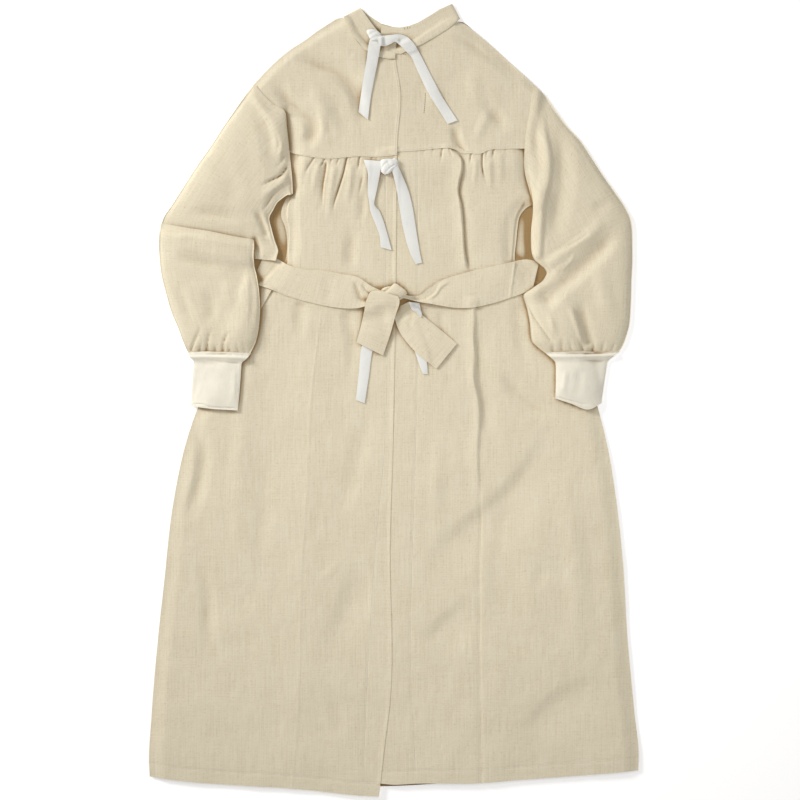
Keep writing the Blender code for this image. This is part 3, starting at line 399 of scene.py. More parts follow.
ARM_FOLDS_LEFT = (
    Fold(((240, 98), (256, 138), (262, 178)), 14, 10, 1.6, 0.4, 0.4, False),
    Fold(((276, 132), (279, 146), (276, 156)), 2.5, 2.5, -1.3, 0.3, 0.3, True),
    Fold(((283, 140), (282, 150), (278, 160)), 2.5, 2.5, 1.2, 0.3, 0.3, True),
    Fold(((286.5, 152), (281, 163), (272, 171)), 2.5, 3, -1.6, 0.2, 0.5, True),
    Fold(((288.5, 165), (281, 175.6), (271, 181), (256, 190)), 3, 4, -3.2, 0.1, 0.5, True),
    Fold(((290, 174), (279, 186), (268, 193), (258, 205)), 6, 6, 2.2, 0.2, 0.5, False),
    Fold(((286, 184), (274, 194), (268, 204), (262, 214)), 3, 4, -2.0, 0.2, 0.4, True),
    Fold(((196, 162), (226, 176), (240, 206)), 14, 14, -2.0, 0.4, 0.4, False),
    Fold(((180, 214), (215, 214), (252, 222)), 9, 10, -2.2, 0.4, 0.4, False),
    Fold(((253, 206), (264, 228), (268, 240)), 5, 7, -2.6, 0.4, 0.2, False),
    Fold(((261, 208), (271, 234), (277, 250)), 4, 6, 2.0, 0.3, 0.2, False),
    Fold(((255, 240), (258, 250), (258, 260)), 5, 6, -2.6, 0.0, 0.0, False),
)
FOREARM_FOLDS_LEFT = (
    Fold(((172, 258), (196, 258), (226, 272)), 12, 14, -1.5, 0.4, 0.4, False),
    Fold(((204, 284), (212, 306), (207, 330)), 9, 9, -2.0, 0.4, 0.4, False),
    Fold(((176, 280), (184, 302), (196, 330)), 8, 8, -1.8, 0.4, 0.4, False),
    Fold(((166, 240), (190, 236), (224, 243)), 6, 6, 1.0, 0.4, 0.4, False),
    Fold(((228, 276), (230, 312)), 10, 12, 1.8, 0.4, 0.4, False),
    Fold(((250, 262), (253, 300), (250, 335)), 4, 7, -1.6, 0.4, 0.4, False),
    Fold(((190, 353), (197, 338), (204, 322)), 3, 4, -2.2, 0.1, 0.6, True),
    Fold(((199, 353), (203, 340)), 3, 3, -1.6, 0.15, 0.7, True),
    Fold(((207, 353), (209, 338), (213, 326)), 3, 4, -2.4, 0.1, 0.6, True),
    Fold(((215, 353), (216, 341)), 3, 3, -1.5, 0.2, 0.7, True),
    Fold(((223, 353), (225, 340), (231, 330)), 3.5, 3, -2.8, 0.1, 0.5, True),
    Fold(((230, 353), (229, 342)), 3, 3, -1.8, 0.15, 0.7, True),
    Fold(((239, 354), (237, 338)), 3, 3, -1.2, 0.2, 0.7, True),
    Fold(((246, 354), (243, 340)), 3, 3, -0.8, 0.2, 0.7, True),
)
ARM_FOLDS_RIGHT = (
    Fold(((541, 100), (543, 130), (548, 162), (547, 181), (542, 202), (539, 240), (538, 262)),
         12, 6, 3.8, 0.3, 0.05, False),
    Fold(((552, 118), (560, 150), (561, 185), (555, 215), (550, 252)), 11, 18, -3.8, 0.25, 0.3,
         False),
    Fold(((615, 220), (607, 240), (586, 262), (564, 282), (538, 307)), 14, 14, -5.6, 0.3, 0.1,
         False),
    Fold(((606, 216), (592, 232), (572, 248), (546, 266)), 8, 8, 2.6, 0.4, 0.05, False),
    Fold(((592, 230), (577.7, 241), (563, 249.7)), 2.5, 2.5, -1.6, 0.3, 0.3, True),
    Fold(((576, 250), (570, 262), (560, 272)), 3, 3, 1.0, 0.3, 0.3, True),
    Fold(((590, 206), (612, 206)), 8, 8, -1.6, 0.4, 0.4, False),
    Fold(((600, 262), (602, 290), (612, 320)), 12, 12, 2.0, 0.4, 0.4, False),
    Fold(((523, 297), (529, 308), (534, 318), (541.8, 329.6), (553, 345)), 3, 4, -2.6, 0.1, 0.1,
         True),
    Fold(((576, 302), (582, 322), (589, 347)), 8, 11, -2.6, 0.3, 0.1, False),
    Fold(((568, 304), (575, 322), (581, 346)), 5, 4, 2.0, 0.3, 0.2, False),
    Fold(((547.5, 312), (555, 338)), 4, 5, 1.6, 0.4, 0.4, False),
    Fold(((552, 352), (554, 338)), 3, 3, -1.6, 0, 0.7, True),
    Fold(((561, 352), (562, 336)), 3, 4, -1.7, 0.15, 0.7, True),
    Fold(((571, 352), (569, 338)), 3, 3, -1.4, 0.2, 0.7, True),
    Fold(((583, 352), (578, 338), (574, 326)), 3, 4, -2.4, 0.1, 0.6, True),
    Fold(((592, 352), (594, 340)), 3, 3, -2.2, 0.1, 0.7, True),
    Fold(((601, 352), (605, 338)), 3, 4, -1.4, 0.2, 0.7, True),
    Fold(((611, 352), (616, 340)), 3, 3, -1.0, 0.2, 0.7, True),
)
CUFF_FOLDS_LEFT = (
    Fold(((206, 361), (215, 360.8), (223, 362.2), (240, 363.6)), 1.6, 2.4, -1.5, 0.5, 0, True),
    Fold(((191, 404.4), (204, 404.6), (209, 406.6), (222, 407.8), (238, 408.4)), 1.3, 1.3, -2.6,
         0, 0, True),
    Fold(((219, 368), (207, 384), (202, 404)), 9, 16, -0.9, 0.3, 0.1, False),
    Fold(((236, 368), (235, 404)), 6, 3, 1.0, 0.2, 0.2, False),
)
CUFF_FOLDS_RIGHT = (
    Fold(((578, 361.4), (590, 361), (603, 361.4)), 1.6, 2.4, -1.5, 0.5, 0, True),
    Fold(((557, 397.4), (570, 401), (583, 404), (592, 403.6)), 1.3, 1.3, -2.6, 0, 0.3, True),
    Fold(((565, 368), (562, 395)), 4, 5, 1.4, 0.3, 0.3, False),
    Fold(((580, 366), (577, 400)), 7, 7, -1.2, 0.3, 0.3, False),
)
CUFF_LEFT = (
    Row(((188.3, 352.5), (205, 351.5), (220, 352), (236, 352.5), (251.5, 353.5)), 0.6),
    Row(((190, 357), (220, 357), (247.5, 358.5)), 2.6),
    Row(((194, 362), (220, 363), (242, 363.8)), 3.6),
    Row(((193.5, 368), (219, 370), (241.5, 371)), 4.6),
    Row(((192.2, 388), (216, 390), (240, 392)), 5.0),
    Row(((191.4, 404), (214, 406), (238.2, 409)), 3.2),
    Row(((191.3, 406), (206, 408.2), (238, 410.6)), 2.4),
)
CUFF_RIGHT = (
    Row(((620, 351), (600, 352), (582, 351.5), (562, 352), (544, 352.5)), 0.6),
    Row(((614, 356), (582, 357), (550, 357.5)), 2.6),
    Row(((607.7, 362), (582, 363), (555, 363)), 3.6),
    Row(((606.2, 370), (581, 371), (555.4, 370)), 4.6),
    Row(((603.5, 387), (580, 388), (555.3, 386)), 5.0),
    Row(((601.8, 399), (583, 403), (555, 396)), 3.2),
    Row(((601.4, 403), (589, 409.5), (570, 403.5), (555, 398.5)), 2.4),
)

# The belt and the tapes, edge to edge: heights are over what they lie on
BELT_LEFT = (
    Section(264, 255, 0, 252, 283, 0, 0.0),
    Section(277, 259, 0, 260.5, 286, 0, 0.2),
    Section(290, 266, 0, 276, 291.5, 0, 0.4),
    Section(305, 270, 0, 291, 297.3, 0, 0.6),
    Section(320, 270.3, 0, 312, 303, 0, 0.8),
    Section(343, 274.5, 0, 334, 307.5, 0.3, 1.2),
    Section(358, 277.5, 1.0, 350, 308.8, 1.5, 1.0),
    Section(371, 286, 3.0, 362, 307.5, 3.0, -1.0),
    Section(382, 291.5, 4.5, 373, 303, 4.0, -1.0),
)
BELT_TURN = (
    Section(255, 284, 0, 245, 297, 0, 0.0),
    Section(264, 287.5, 0, 253, 305, 0, 0.2),
    Section(271.8, 290.5, 0, 260.5, 310.5, 0, 0.0),
)
BELT_RIGHT = (
    Section(402, 294, 4.5, 401, 298, 5.0, 0.0),
    Section(410, 296, 2.5, 410, 300, 5.0, -0.8),
    Section(418, 295, 1.2, 419, 302.3, 5.5, -3.0),
    Section(428, 287.5, 0.8, 430, 304, 5.0, -3.4),
    Section(440, 281, 0.6, 441, 306, 2.6, -1.0),
    Section(455, 275.8, 0.4, 455, 308, 1.0, 1.2),
    Section(470, 271.6, 0.2, 470, 308, 0.5, 1.4),
    Section(490, 267, 0, 490, 304, 0.2, 1.2),
    Section(512, 262, 0, 510, 298, 0, 0.6),
    Section(518, 260.5, 0, 521, 294, 0, 0.2),
    Section(527, 259.5, 0, 529, 291, 0, 0.0),
    Section(539, 262, 0, 532.5, 289.5, 0, 0.0),
)
BELT_TAIL_LEFT = (
    Section(376, 290.5, 2.5, 392, 293, 2.5, 0.5),
    Section(370.5, 292.5, 3.0, 397, 296, 2.6, 0.8),
    Section(367, 299.5, 2.2, 399.4, 300.5, 2.2, 1.0),
    Section(364, 313, 1.4, 395.5, 316, 1.4, 1.0),
    Section(360.5, 328, 1.0, 389.5, 337, 1.0, 1.2),
    Section(356.5, 342.5, 0.8, 383, 355.8, 0.8, 0.4),
)
BELT_TAIL_RIGHT = (
    Section(409, 302, 1.5, 394, 309, 1.0, -1.0),
    Section(413.5, 307, 1.5, 395, 319, 1.5, -1.8),
    Section(421, 314, 1.2, 399.5, 332, 1.5, -0.8),
    Section(430, 321.5, 0.8, 408.5, 344.5, 0.8, 0.6),
    Section(443, 332, 0.6, 421, 357, 0.8, 1.0),
    Section(456.8, 343.8, 0.8, 436.4, 368.8, 0.8, 0.2),
)
BELT_FOLDS = (
    Fold(((354, 281), (358, 292), (361, 299), (368, 300.5)), 5, 6, -3.0, 0.3, 0.1, True),
    Fold(((362, 283), (366, 291), (372, 295)), 3, 4, -1.8, 0.3, 0.2, True),
    Fold(((330, 272), (327, 304)), 10, 10, -0.9, 0.3, 0.3, False),
    Fold(((412, 298.2), (424, 296.5), (433, 291), (437.5, 284)), 4, 3.5, -4.0, 0.1, 0.2, True),
    Fold(((426, 300.5), (435, 295), (440, 288), (452, 280)), 2.5, 5, 1.6, 0.2, 0.4, False),
    Fold(((515, 262), (510, 298)), 3, 1.6, 1.2, 0.05, 0.05, True),
    Fold(((520, 268), (529, 286)), 2, 2, -0.7, 0.3, 0.3, True),
    Fold(((403, 309), (409.5, 317), (409, 330)), 3, 5, -2.0, 0.1, 0.4, True),
)
NECK_TAIL_LEFT = (
    Section(370.2, 39, 2.5, 380.5, 40.5, 2.5, 0.8),
    Section(369, 44, 2.5, 380.6, 45, 2.5, 0.8),
    Section(366.8, 60, 1.5, 378.2, 60.5, 1.5, 0.5),
    Section(364, 76, 0.6, 374.8, 77, 0.6, 0.4),
    Section(361, 95, 0.4, 371, 97, 0.4, 0.4),
    Section(358.5, 112.5, 0.6, 368, 120.5, 0.9, 0.3),
)
NECK_BRIDGE = (
    Section(378, 36.5, 2.5, 378.5, 47, 2.0, 0.6),
    Section(384, 36.8, 4.0, 384, 47.5, 3.2, 0.8),
    Section(391, 36, 5.0, 391, 45, 4.2, 0.8),
    Section(398.5, 35.3, 4.6, 395, 43, 4.2, 0.8),
    Section(406, 37.2, 3.2, 400, 46.5, 3.2, 0.8),
    Section(413, 43.5, 1.8, 405, 51.5, 2.0, 0.8),
    Section(419, 53, 0.9, 411, 57.5, 1.0, 0.6),
    Section(425.5, 65.5, 0.5, 416.5, 69.5, 0.5, 0.5),
    Section(433, 80, 0.4, 423.5, 84.5, 0.4, 0.5),
    Section(440.5, 94.5, 0.3, 431, 98.5, 0.4, 0.5),
    Section(449, 108, 0.3, 439.5, 111.5, 0.3, 0.4),
    Section(457.5, 121, 0.8, 447.5, 124.5, 0.6, 0.3),
)
CHEST_TAIL_LEFT = (
    Section(363.4, 160.2, 1.4, 383, 162, 3.0, 0.6),
    Section(365.5, 166, 2.2, 381.5, 166, 3.5, 0.8),
    Section(367.8, 173, 1.6, 380, 174.5, 2.6, 0.8),
    Section(367.8, 186, 1.0, 377.6, 187, 1.4, 0.5),
    Section(368.0, 196, 0.8, 374.8, 200, 1.8, 0.3),
    Section(368.8, 200, 1.8, 374.2, 204, 2.6, 0.3),
    Section(370.3, 211, 0.9, 379.5, 211.5, 0.9, 0.5),
    Section(374, 221, 0.6, 383.5, 221.5, 0.6, 0.5),
    Section(379.5, 236, 0.5, 387.8, 236, 0.5, 0.4),
    Section(380.4, 247.5, 0.6, 391.5, 250.5, 1.0, 0.2),
)
CHEST_TAIL_RIGHT = (
    Section(391, 168.5, 4.0, 398.2, 167, 3.6, 0.5),
    Section(393.3, 176, 2.4, 402.3, 176, 2.2, 0.8),
    Section(396.5, 190, 1.0, 408, 190, 1.0, 0.7),
    Section(399, 206, 0.5, 412, 205, 0.5, 0.6),
    Section(403, 228, 0.4, 415.6, 227, 0.4, 0.5),
    Section(407.5, 246, 0.4, 418.5, 245, 0.4, 0.4),
    Section(411.5, 256.5, 0.4, 420.3, 255.5, 0.5, 0.3),
    Section(415.8, 264.3, 0.6, 421.8, 263, 0.8, 0.0),
)
WAIST_TAIL_LEFT = (
    Section(377, 313, 0, 386, 315, 0, 0.0),
    Section(369, 330, 0, 379, 333, 0, 0.2),
    Section(361.7, 347, 0.2, 372.6, 351, 0.2, 0.4),
    Section(358.8, 374, 0.3, 369, 376, 0.3, 0.5),
    Section(355.8, 400, 0.5, 364.7, 403.2, 0.7, 0.3),
)
WAIST_TAIL_RIGHT = (
    Section(404, 323, 0, 413, 320, 0, 0.0),
    Section(408, 337, 0, 418, 336, 0, 0.2),
    Section(414.5, 351, 0.2, 425.3, 353, 0.2, 0.4),
    Section(418.5, 363, 0.3, 427, 364, 0.3, 0.4),
    Section(422.6, 374, 0.6, 427.6, 374.4, 0.6, 0.1),
)
WAIST_LOOP = (
    Section(409.2, 302.4, 2.0, 419.4, 303.4, 1.6, 0.2),
    Section(409.8, 305.5, 2.2, 420.2, 307, 1.6, 0.5),
    Section(411.5, 309.5, 2.0, 421.2, 311, 1.4, 0.5),
    Section(416.5, 313, 1.4, 421.8, 314.6, 1.2, 0.2),
    Section(419.6, 317, 1.0, 421, 317.6, 1.0, 0.0),
)

# The wraps of the knots: sections over the middle of each knot
NECK_KNOT = (
    (Section(366.5, 33, 0.5, 371, 42, 0.5, 0.5), Section(367.5, 31, 3.5, 373, 42, 3.2, 0.8),
     Section(371, 30.5, 5.2, 376, 42, 4.8, 1.0), Section(376.5, 31.5, 5.2, 379.5, 41.5, 4.8, 1.0),
     Section(381, 35, 3.4, 382, 41, 3.2, 0.6), Section(382.5, 37, 0.8, 382.5, 40, 0.8, 0.2)),
    (Section(368, 34.5, 5.0, 372.5, 31, 5.2, 0.4),
     Section(370.5, 38.5, 6.6, 377.5, 33.5, 6.6, 0.8),
     Section(374.5, 42, 5.6, 381.5, 38.5, 5.4, 0.8),
     Section(377, 43.5, 3.0, 382.5, 41.5, 3.0, 0.4)),
)
CHEST_KNOT = (
    (Section(380.5, 161, 1.0, 381, 172.5, 1.0, 0.4), Section(383, 160, 4.6, 383.5, 174.5, 4.0, 1.0),
     Section(388, 159.6, 5.8, 388.5, 174.5, 5.2, 1.2),
     Section(393.5, 160, 5.2, 393, 171, 5.0, 1.0), Section(397.5, 162.5, 2.5, 397, 169, 2.5, 0.4),
     Section(398.6, 164, 0.6, 398.6, 168, 0.6, 0.1)),
    (Section(381, 172.5, 3.6, 385, 176, 3.6, 0.2), Section(384.5, 166.5, 6.4, 390, 172, 6.2, 0.8),
     Section(390, 161, 7.0, 395.5, 167, 6.6, 0.8),
     Section(394.5, 158.5, 5.8, 398.6, 162.5, 5.2, 0.3)),
)
BELT_KNOT = (
    (Section(379.5, 292.5, 1.5, 384, 301, 1.5, 0.4), Section(383, 288.5, 5.0, 388, 300, 5.0, 1.0),
     Section(390, 286.5, 6.5, 394, 300.5, 6.4, 1.4), Section(398, 288, 5.6, 399, 300.5, 5.6, 1.0),
     Section(404, 292.5, 2.5, 403, 299, 2.5, 0.3), Section(406, 294, 0.8, 405, 298, 0.8, 0.1)),
    (Section(385.5, 292.3, 5.2, 394, 283.9, 4.4, 0.4),
     Section(388, 293.2, 7.6, 396.4, 284.2, 6.6, 0.8),
     Section(393, 294.8, 8.6, 401.5, 287.8, 7.6, 0.8),
     Section(398, 296.3, 7.2, 406.3, 291.8, 6.4, 0.4),
     Section(399.5, 298, 4.6, 407.2, 294.5, 4.0, 0.1)),
)
KNOT_FOLDS = (
    Fold(((382, 169), (386, 164), (391, 162)), 1.6, 1.6, -1.4, 0, 0.2, True),
    Fold(((386, 173), (391, 168), (396, 165)), 1.4, 1.6, -1.3, 0, 0.2, True),
    Fold(((387, 160), (389, 164), (392, 166)), 1.3, 1.3, -1.0, 0.2, 0.2, True),
    Fold(((369, 37), (373, 34), (378, 33)), 1.5, 1.5, -1.1, 0, 0.2, True),
    Fold(((371, 40.5), (376, 38), (381, 37)), 1.3, 1.5, -1.0, 0, 0.2, True),
    Fold(((381, 294), (386, 291), (392, 288.5)), 1.6, 2.2, -1.6, 0, 0.2, True),
    Fold(((394, 289), (399, 292), (403, 296)), 1.6, 1.8, -1.4, 0.1, 0.1, True),
)

# Sections of the collar's band, top edge to seam, from the left front round the back to the
# right front, with the height of the band's middle in mm and how far it has folded over
CollarSection = namedtuple("CollarSection", "u1 v1 u2 v2 height turn")
COLLAR = (
    CollarSection(396.5, 42.5, 395, 59.5, 6.6, 0.0),
    CollarSection(388, 39.5, 388, 59.5, 6.5, 0.0),
    CollarSection(380.5, 35.5, 378, 57.5, 6.2, 0.0),
    CollarSection(371, 23, 364, 50, 5.2, 0.0),
    CollarSection(364.3, 13.5, 352, 35, 4.6, 0.0),
    CollarSection(361.2, 8.8, 344, 18, 4.0, 0.0),
    CollarSection(361.2, 8.8, 344, 18, 2.3, 0.5),
    CollarSection(361.2, 8.8, 344, 18, 0.8, 1.0),
    CollarSection(368, 15, 355.5, 33, 0.8, 1.0),
    CollarSection(381, 23.5, 376.5, 44, 0.8, 1.0),
    CollarSection(400, 29, 400, 49, 0.8, 1.0),
    CollarSection(425, 20.5, 430, 40, 0.8, 1.0),
    CollarSection(440, 10.5, 446.5, 29.5, 0.8, 1.0),
    CollarSection(451, 4.6, 459, 19.8, 0.8, 1.0),
    CollarSection(451, 4.6, 459, 19.8, 2.3, 1.5),
    CollarSection(451, 4.6, 459, 19.8, 4.0, 2.0),
    CollarSection(440, 9.5, 447.5, 29.5, 4.4, 2.0),
    CollarSection(430, 16, 434.5, 37.5, 4.5, 2.0),
    CollarSection(418, 23, 422.5, 44.5, 4.5, 2.0),
    CollarSection(409, 26.3, 413, 49, 4.4, 2.0),
    CollarSection(400, 28, 401, 54.5, 4.3, 2.0),
    CollarSection(390, 27, 388.5, 54, 4.1, 2.0),
    CollarSection(381.5, 25.4, 379, 51, 4.0, 2.0),
)


class SmockSizes(bpy.types.PropertyGroup):
    """Real sizes of the cloth."""

    linen: FloatProperty(
        name="Linen", description="Thickness of the linen", default=0.55 * MM, unit="LENGTH")
    belt: FloatProperty(
        name="Belt", description="Thickness of the belt's two layers", default=1.1 * MM,
        unit="LENGTH")
    tape: FloatProperty(
        name="Tape", description="Thickness of the cotton tape", default=0.6 * MM, unit="LENGTH")
    jersey: FloatProperty(
        name="Jersey", description="Thickness of the knitted cuffs", default=1.1 * MM,
        unit="LENGTH")
    gap: FloatProperty(
        name="Gap", description="Air between two layers", default=0.25 * MM, unit="LENGTH")
    rise: FloatProperty(
        name="Rise of the fronts", description="How far the fronts stand off the back",
        default=4.6 * MM, unit="LENGTH")
    folds: FloatProperty(
        name="Folds", description="Strength of the folds, 1 as drawn", default=1.0, min=0.0)
    unevenness: FloatProperty(
        name="Unevenness", description="Height of the cloth's soft waves", default=1.15 * MM,
        unit="LENGTH")
    cell: FloatProperty(
        name="Cell", description="Side of the fronts' mesh cells", default=3.2 * MM,
        unit="LENGTH")
    stitch: FloatProperty(
        name="Stitch", description="Length of a stitch and its gap", default=2.8 * MM,
        unit="LENGTH")
    seed: IntProperty(name="Seed", description="Start of the cloth's unevenness", default=7)


class SmockColours(bpy.types.PropertyGroup):
    """Colours of the cloth, the thread and the floor."""

    linen: FloatVectorProperty(
        name="Linen", description="Undyed linen", subtype="COLOR", default=(0.83, 0.745, 0.56))
    linen_dark: FloatVectorProperty(
        name="Linen, dark", description="Its thick and thin threads", subtype="COLOR",
        default=(0.66, 0.55, 0.38))
    linen_light: FloatVectorProperty(
        name="Linen, light", description="Its palest threads", subtype="COLOR",
        default=(0.90, 0.845, 0.70))
    tape: FloatVectorProperty(
        name="Tape", description="Bleached cotton tape", subtype="COLOR",
        default=(0.93, 0.93, 0.89))
    jersey: FloatVectorProperty(
        name="Jersey", description="Unbleached jersey", subtype="COLOR",
        default=(0.94, 0.89, 0.76))
    thread: FloatVectorProperty(
        name="Thread", description="Sewing thread", subtype="COLOR", default=(0.80, 0.77, 0.68))
    darning: FloatVectorProperty(
        name="Darning", description="Brown thread of the worked marks", subtype="COLOR",
        default=(0.34, 0.26, 0.13))
    floor: FloatVectorProperty(
        name="Floor", description="Studio floor", subtype="COLOR", default=(0.92, 0.92, 0.92))


def sizes():
    """The sizes that the user has set."""
    return bpy.context.scene.smock_sizes


def colours():
    """The colours that the user has set."""
    return bpy.context.scene.smock_colours


def place(plan, height):
    """Plan points and heights as points in space."""
    x = (plan[..., 0] - PLAN_MIDDLE[0]) * UNIT
    y = (PLAN_MIDDLE[1] - plan[..., 1]) * UNIT
    return np.stack([x, y, height + 0.0 * x], axis=-1)


def smooth(value):
    """A soft step from 0 at 0 to 1 at 1."""
    value = np.clip(value, 0.0, 1.0)
    return value * value * (3.0 - 2.0 * value)


def passed_lengths(line):
    """The length of a line up to each of its points."""
    return np.concatenate([[0.0], np.cumsum(np.linalg.norm(np.diff(line, axis=0), axis=-1))])


def bent(t, step, start, start_slope, end, end_slope):
    """Values at parts t of a step that leaves its start and meets its end at those slopes."""
    return ((2 * t**3 - 3 * t**2 + 1) * start
            + (t**3 - 2 * t**2 + t) * step * start_slope
            + (3 * t**2 - 2 * t**3) * end
            + (t**3 - t**2) * step * end_slope)


def through(points, count):
    """A smooth line through points, with count steps in each stretch."""
    points = np.asarray(points, float)
    if len(points) < 3:
        return points
    steps = np.maximum(np.linalg.norm(np.diff(points, axis=0), axis=-1), 1e-6)[:, None]
    slopes = np.diff(points, axis=0) / steps
    inner = (slopes[:-1] * steps[1:] + slopes[1:] * steps[:-1]) / (steps[1:] + steps[:-1])
    tangents = np.concatenate([slopes[:1], inner, slopes[-1:]])
    t = (np.arange(count) / count)[:, None]
    line = [bent(t, steps[k], points[k], tangents[k], points[k + 1], tangents[k + 1])
            for k in range(len(points) - 1)]
    return np.concatenate(line + [points[-1:]])


def curve(path, shares, count=8):
    """The points at shares of the length of a smooth line through a path."""
    line = through(path, count)
    lengths = passed_lengths(line)
    return np.stack([np.interp(shares, lengths / lengths[-1], line[:, axis])
                     for axis in range(line.shape[1])], axis=-1)


def crowded(count, *spots):
    """Shares from 0 to 1 that crowd near spots; a spot is its share, reach and strength."""
    fine = np.linspace(0.0, 1.0, 2001)
    density = np.ones_like(fine)
    for share, reach, strength in spots:
        density += strength * np.exp(-((fine - share) / reach) ** 2)
    passed = np.concatenate([[0.0], np.cumsum((density[1:] + density[:-1]) / 2)])
    return np.interp(np.linspace(0.0, passed[-1], count + 1), passed, fine)


def patch(top, bottom, left, right, t, s):
    """A grid of plan points that fills four edges, at shares t down and s across."""
    high = curve(top, s)
    low = curve(bottom, s)
    start = curve(left, t)
    end = curve(right, t)
    s = s[None, :, None]
    t = t[:, None, None]
    corners = ((high[0] * (1 - s) + high[-1] * s) * (1 - t) + (low[0] * (1 - s) + low[-1] * s) * t)
    return start[:, None] * (1 - s) + end[:, None] * s + high * (1 - t) + low * t - corners


def loft(lines, values, rows, shares):
    """A grid through lines drawn across, and the values of the lines at each row."""
    across = np.stack([curve(line, shares) for line in lines])
    lengths = passed_lengths(across[:, len(shares) // 2])
    joined = np.concatenate([across.reshape(len(lines), -1), np.asarray(values, float)], axis=-1)
    line = hermite(lengths, joined, np.linspace(0.0, lengths[-1], rows + 1))
    width = len(shares) * across.shape[-1]
    grid = line[:, :width].reshape(rows + 1, len(shares), across.shape[-1])
    return grid, line[:, width:]


def hermite(knots, values, spots):
    """Smooth values at spots between knots, without overshoot where the values level out."""
    steps = np.diff(knots)[:, None]
    slopes = np.diff(values, axis=0) / steps
    weights = (slopes[:-1] * slopes[1:] > 0.0)
    mean = 2.0 * slopes[:-1] * slopes[1:] / np.where(weights, slopes[:-1] + slopes[1:], 1.0)
    inner = np.where(weights, mean, 0.0)
    tangents = np.concatenate([slopes[:1], inner, slopes[-1:]])
    index = np.clip(np.searchsorted(knots, spots, side="right") - 1, 0, len(knots) - 2)
    step = steps[index]
    t = (spots[:, None] - knots[index][:, None]) / step
    return bent(t, step, values[index], tangents[index], values[index + 1], tangents[index + 1])


def nearest(points, line):
    """Distance, side and share of length of the nearest spot on a line, for many points."""
    best = np.full(len(points), np.inf)
    side = np.zeros(len(points))
    share = np.zeros(len(points))
    lengths = np.linalg.norm(np.diff(line, axis=0), axis=-1)
    total = lengths.sum()
    passed = 0.0
    for start, end, length in zip(line, line[1:], lengths):
        if length == 0.0:
            continue
        run = end - start
        offset = points - start
        part = np.clip(offset @ run / length**2, 0.0, 1.0)
        gap = np.linalg.norm(offset - part[:, None] * run, axis=-1)
        closer = gap < best
        turn = run[0] * offset[:, 1] - run[1] * offset[:, 0]
        best = np.where(closer, gap, best)
        side = np.where(closer, turn, side)
        share = np.where(closer, (passed + part * length) / total, share)
        passed += length
    return best, side, share


def relief(folds, plan):
    """The height in metres that folds add at plan points."""
    total = np.zeros(plan.shape[:-1])
    for fold in folds:
        line = through(fold.path, 4)
        reach = max(fold.left, fold.right)
        low = line.min(axis=0) - reach
        high = line.max(axis=0) + reach
        mask = np.all((plan >= low) & (plan <= high), axis=-1)
        if not mask.any():
            continue
        distance, side, share = nearest(plan[mask], line)
        part = np.clip(1.0 - distance / np.where(side > 0.0, fold.left, fold.right), 0.0, 1.0)
        form = part**2 if fold.crease else smooth(part)
        if fold.fade_in:
            form = form * smooth(share / fold.fade_in)
        if fold.fade_out:
            form = form * smooth((1.0 - share) / fold.fade_out)
        total[mask] += fold.height * MM * sizes().folds * form
    return total


def waves(plan, spacing, seed):
    """Smooth seeded unevenness over the plan, about -1 to 1, on a lattice of that spacing."""
    values = np.random.default_rng(sizes().seed + seed).uniform(
        -WAVE_HEIGHT, WAVE_HEIGHT, (WAVE_LATTICE, WAVE_LATTICE))
    cosine, sine = WAVE_TURN
    turned = np.stack([plan[..., 0] * cosine + plan[..., 1] * sine,
                       plan[..., 1] * cosine - plan[..., 0] * sine], axis=-1)
    spot = turned / spacing + WAVE_START
    cell = np.floor(spot).astype(int)
    t = spot - cell
    weights = [(1 - t) ** 3 / 6, (3 * t**3 - 6 * t**2 + 4) / 6,
               (-3 * t**3 + 3 * t**2 + 3 * t + 1) / 6, t**3 / 6]
    total = np.zeros(plan.shape[:-1])
    for i, weight_u in enumerate(weights):
        for j, weight_v in enumerate(weights):
            picked = values[(cell[..., 1] + j) % WAVE_LATTICE, (cell[..., 0] + i) % WAVE_LATTICE]
            total += picked * weight_u[..., 0] * weight_v[..., 1]
    return total


def unevenness(plan, seed):
    """The cloth's soft waves at a plan point, in metres."""
    return sizes().unevenness * sum(share * waves(plan, spacing, seed + k)
                                    for k, (spacing, share) in enumerate(WAVES))


def refined(values, times, axis):
    """Values with more of them worked out in between along an axis."""
    values = np.moveaxis(values, axis, 0)
    spots = np.linspace(0.0, len(values) - 1.0, (len(values) - 1) * times + 1)
    index = np.minimum(spots.astype(int), len(values) - 2)
    part = (spots - index).reshape((-1,) + (1,) * (values.ndim - 1))
    return np.moveaxis(values[index] * (1 - part) + values[index + 1] * part, 0, axis)


def lengthened(values, axis, before, after):
    """A raster with its edges repeated along an axis."""
    return np.pad(values, [(before, after) if axis == k else (0, 0) for k in (0, 1)], mode="edge")


def spread_highest(values, radius):
    """The highest value within a radius, in cells, of each cell."""
    for axis in (0, 1):
        padded = lengthened(values, axis, radius, radius)
        size = values.shape[axis]
        values = np.maximum.reduce([np.take(padded, range(k, k + size), axis=axis)
                                    for k in range(2 * radius + 1)])
    return values


def averaged(values, radius):
    """The mean within a radius, in cells, of each cell."""
    for axis in (0, 1):
        sums = np.cumsum(lengthened(values, axis, radius + 1, radius), axis=axis)
        size = values.shape[axis]
        high = np.take(sums, range(2 * radius + 1, 2 * radius + 1 + size), axis=axis)
        low = np.take(sums, range(0, size), axis=axis)
        values = (high - low) / (2 * radius + 1)
    return values


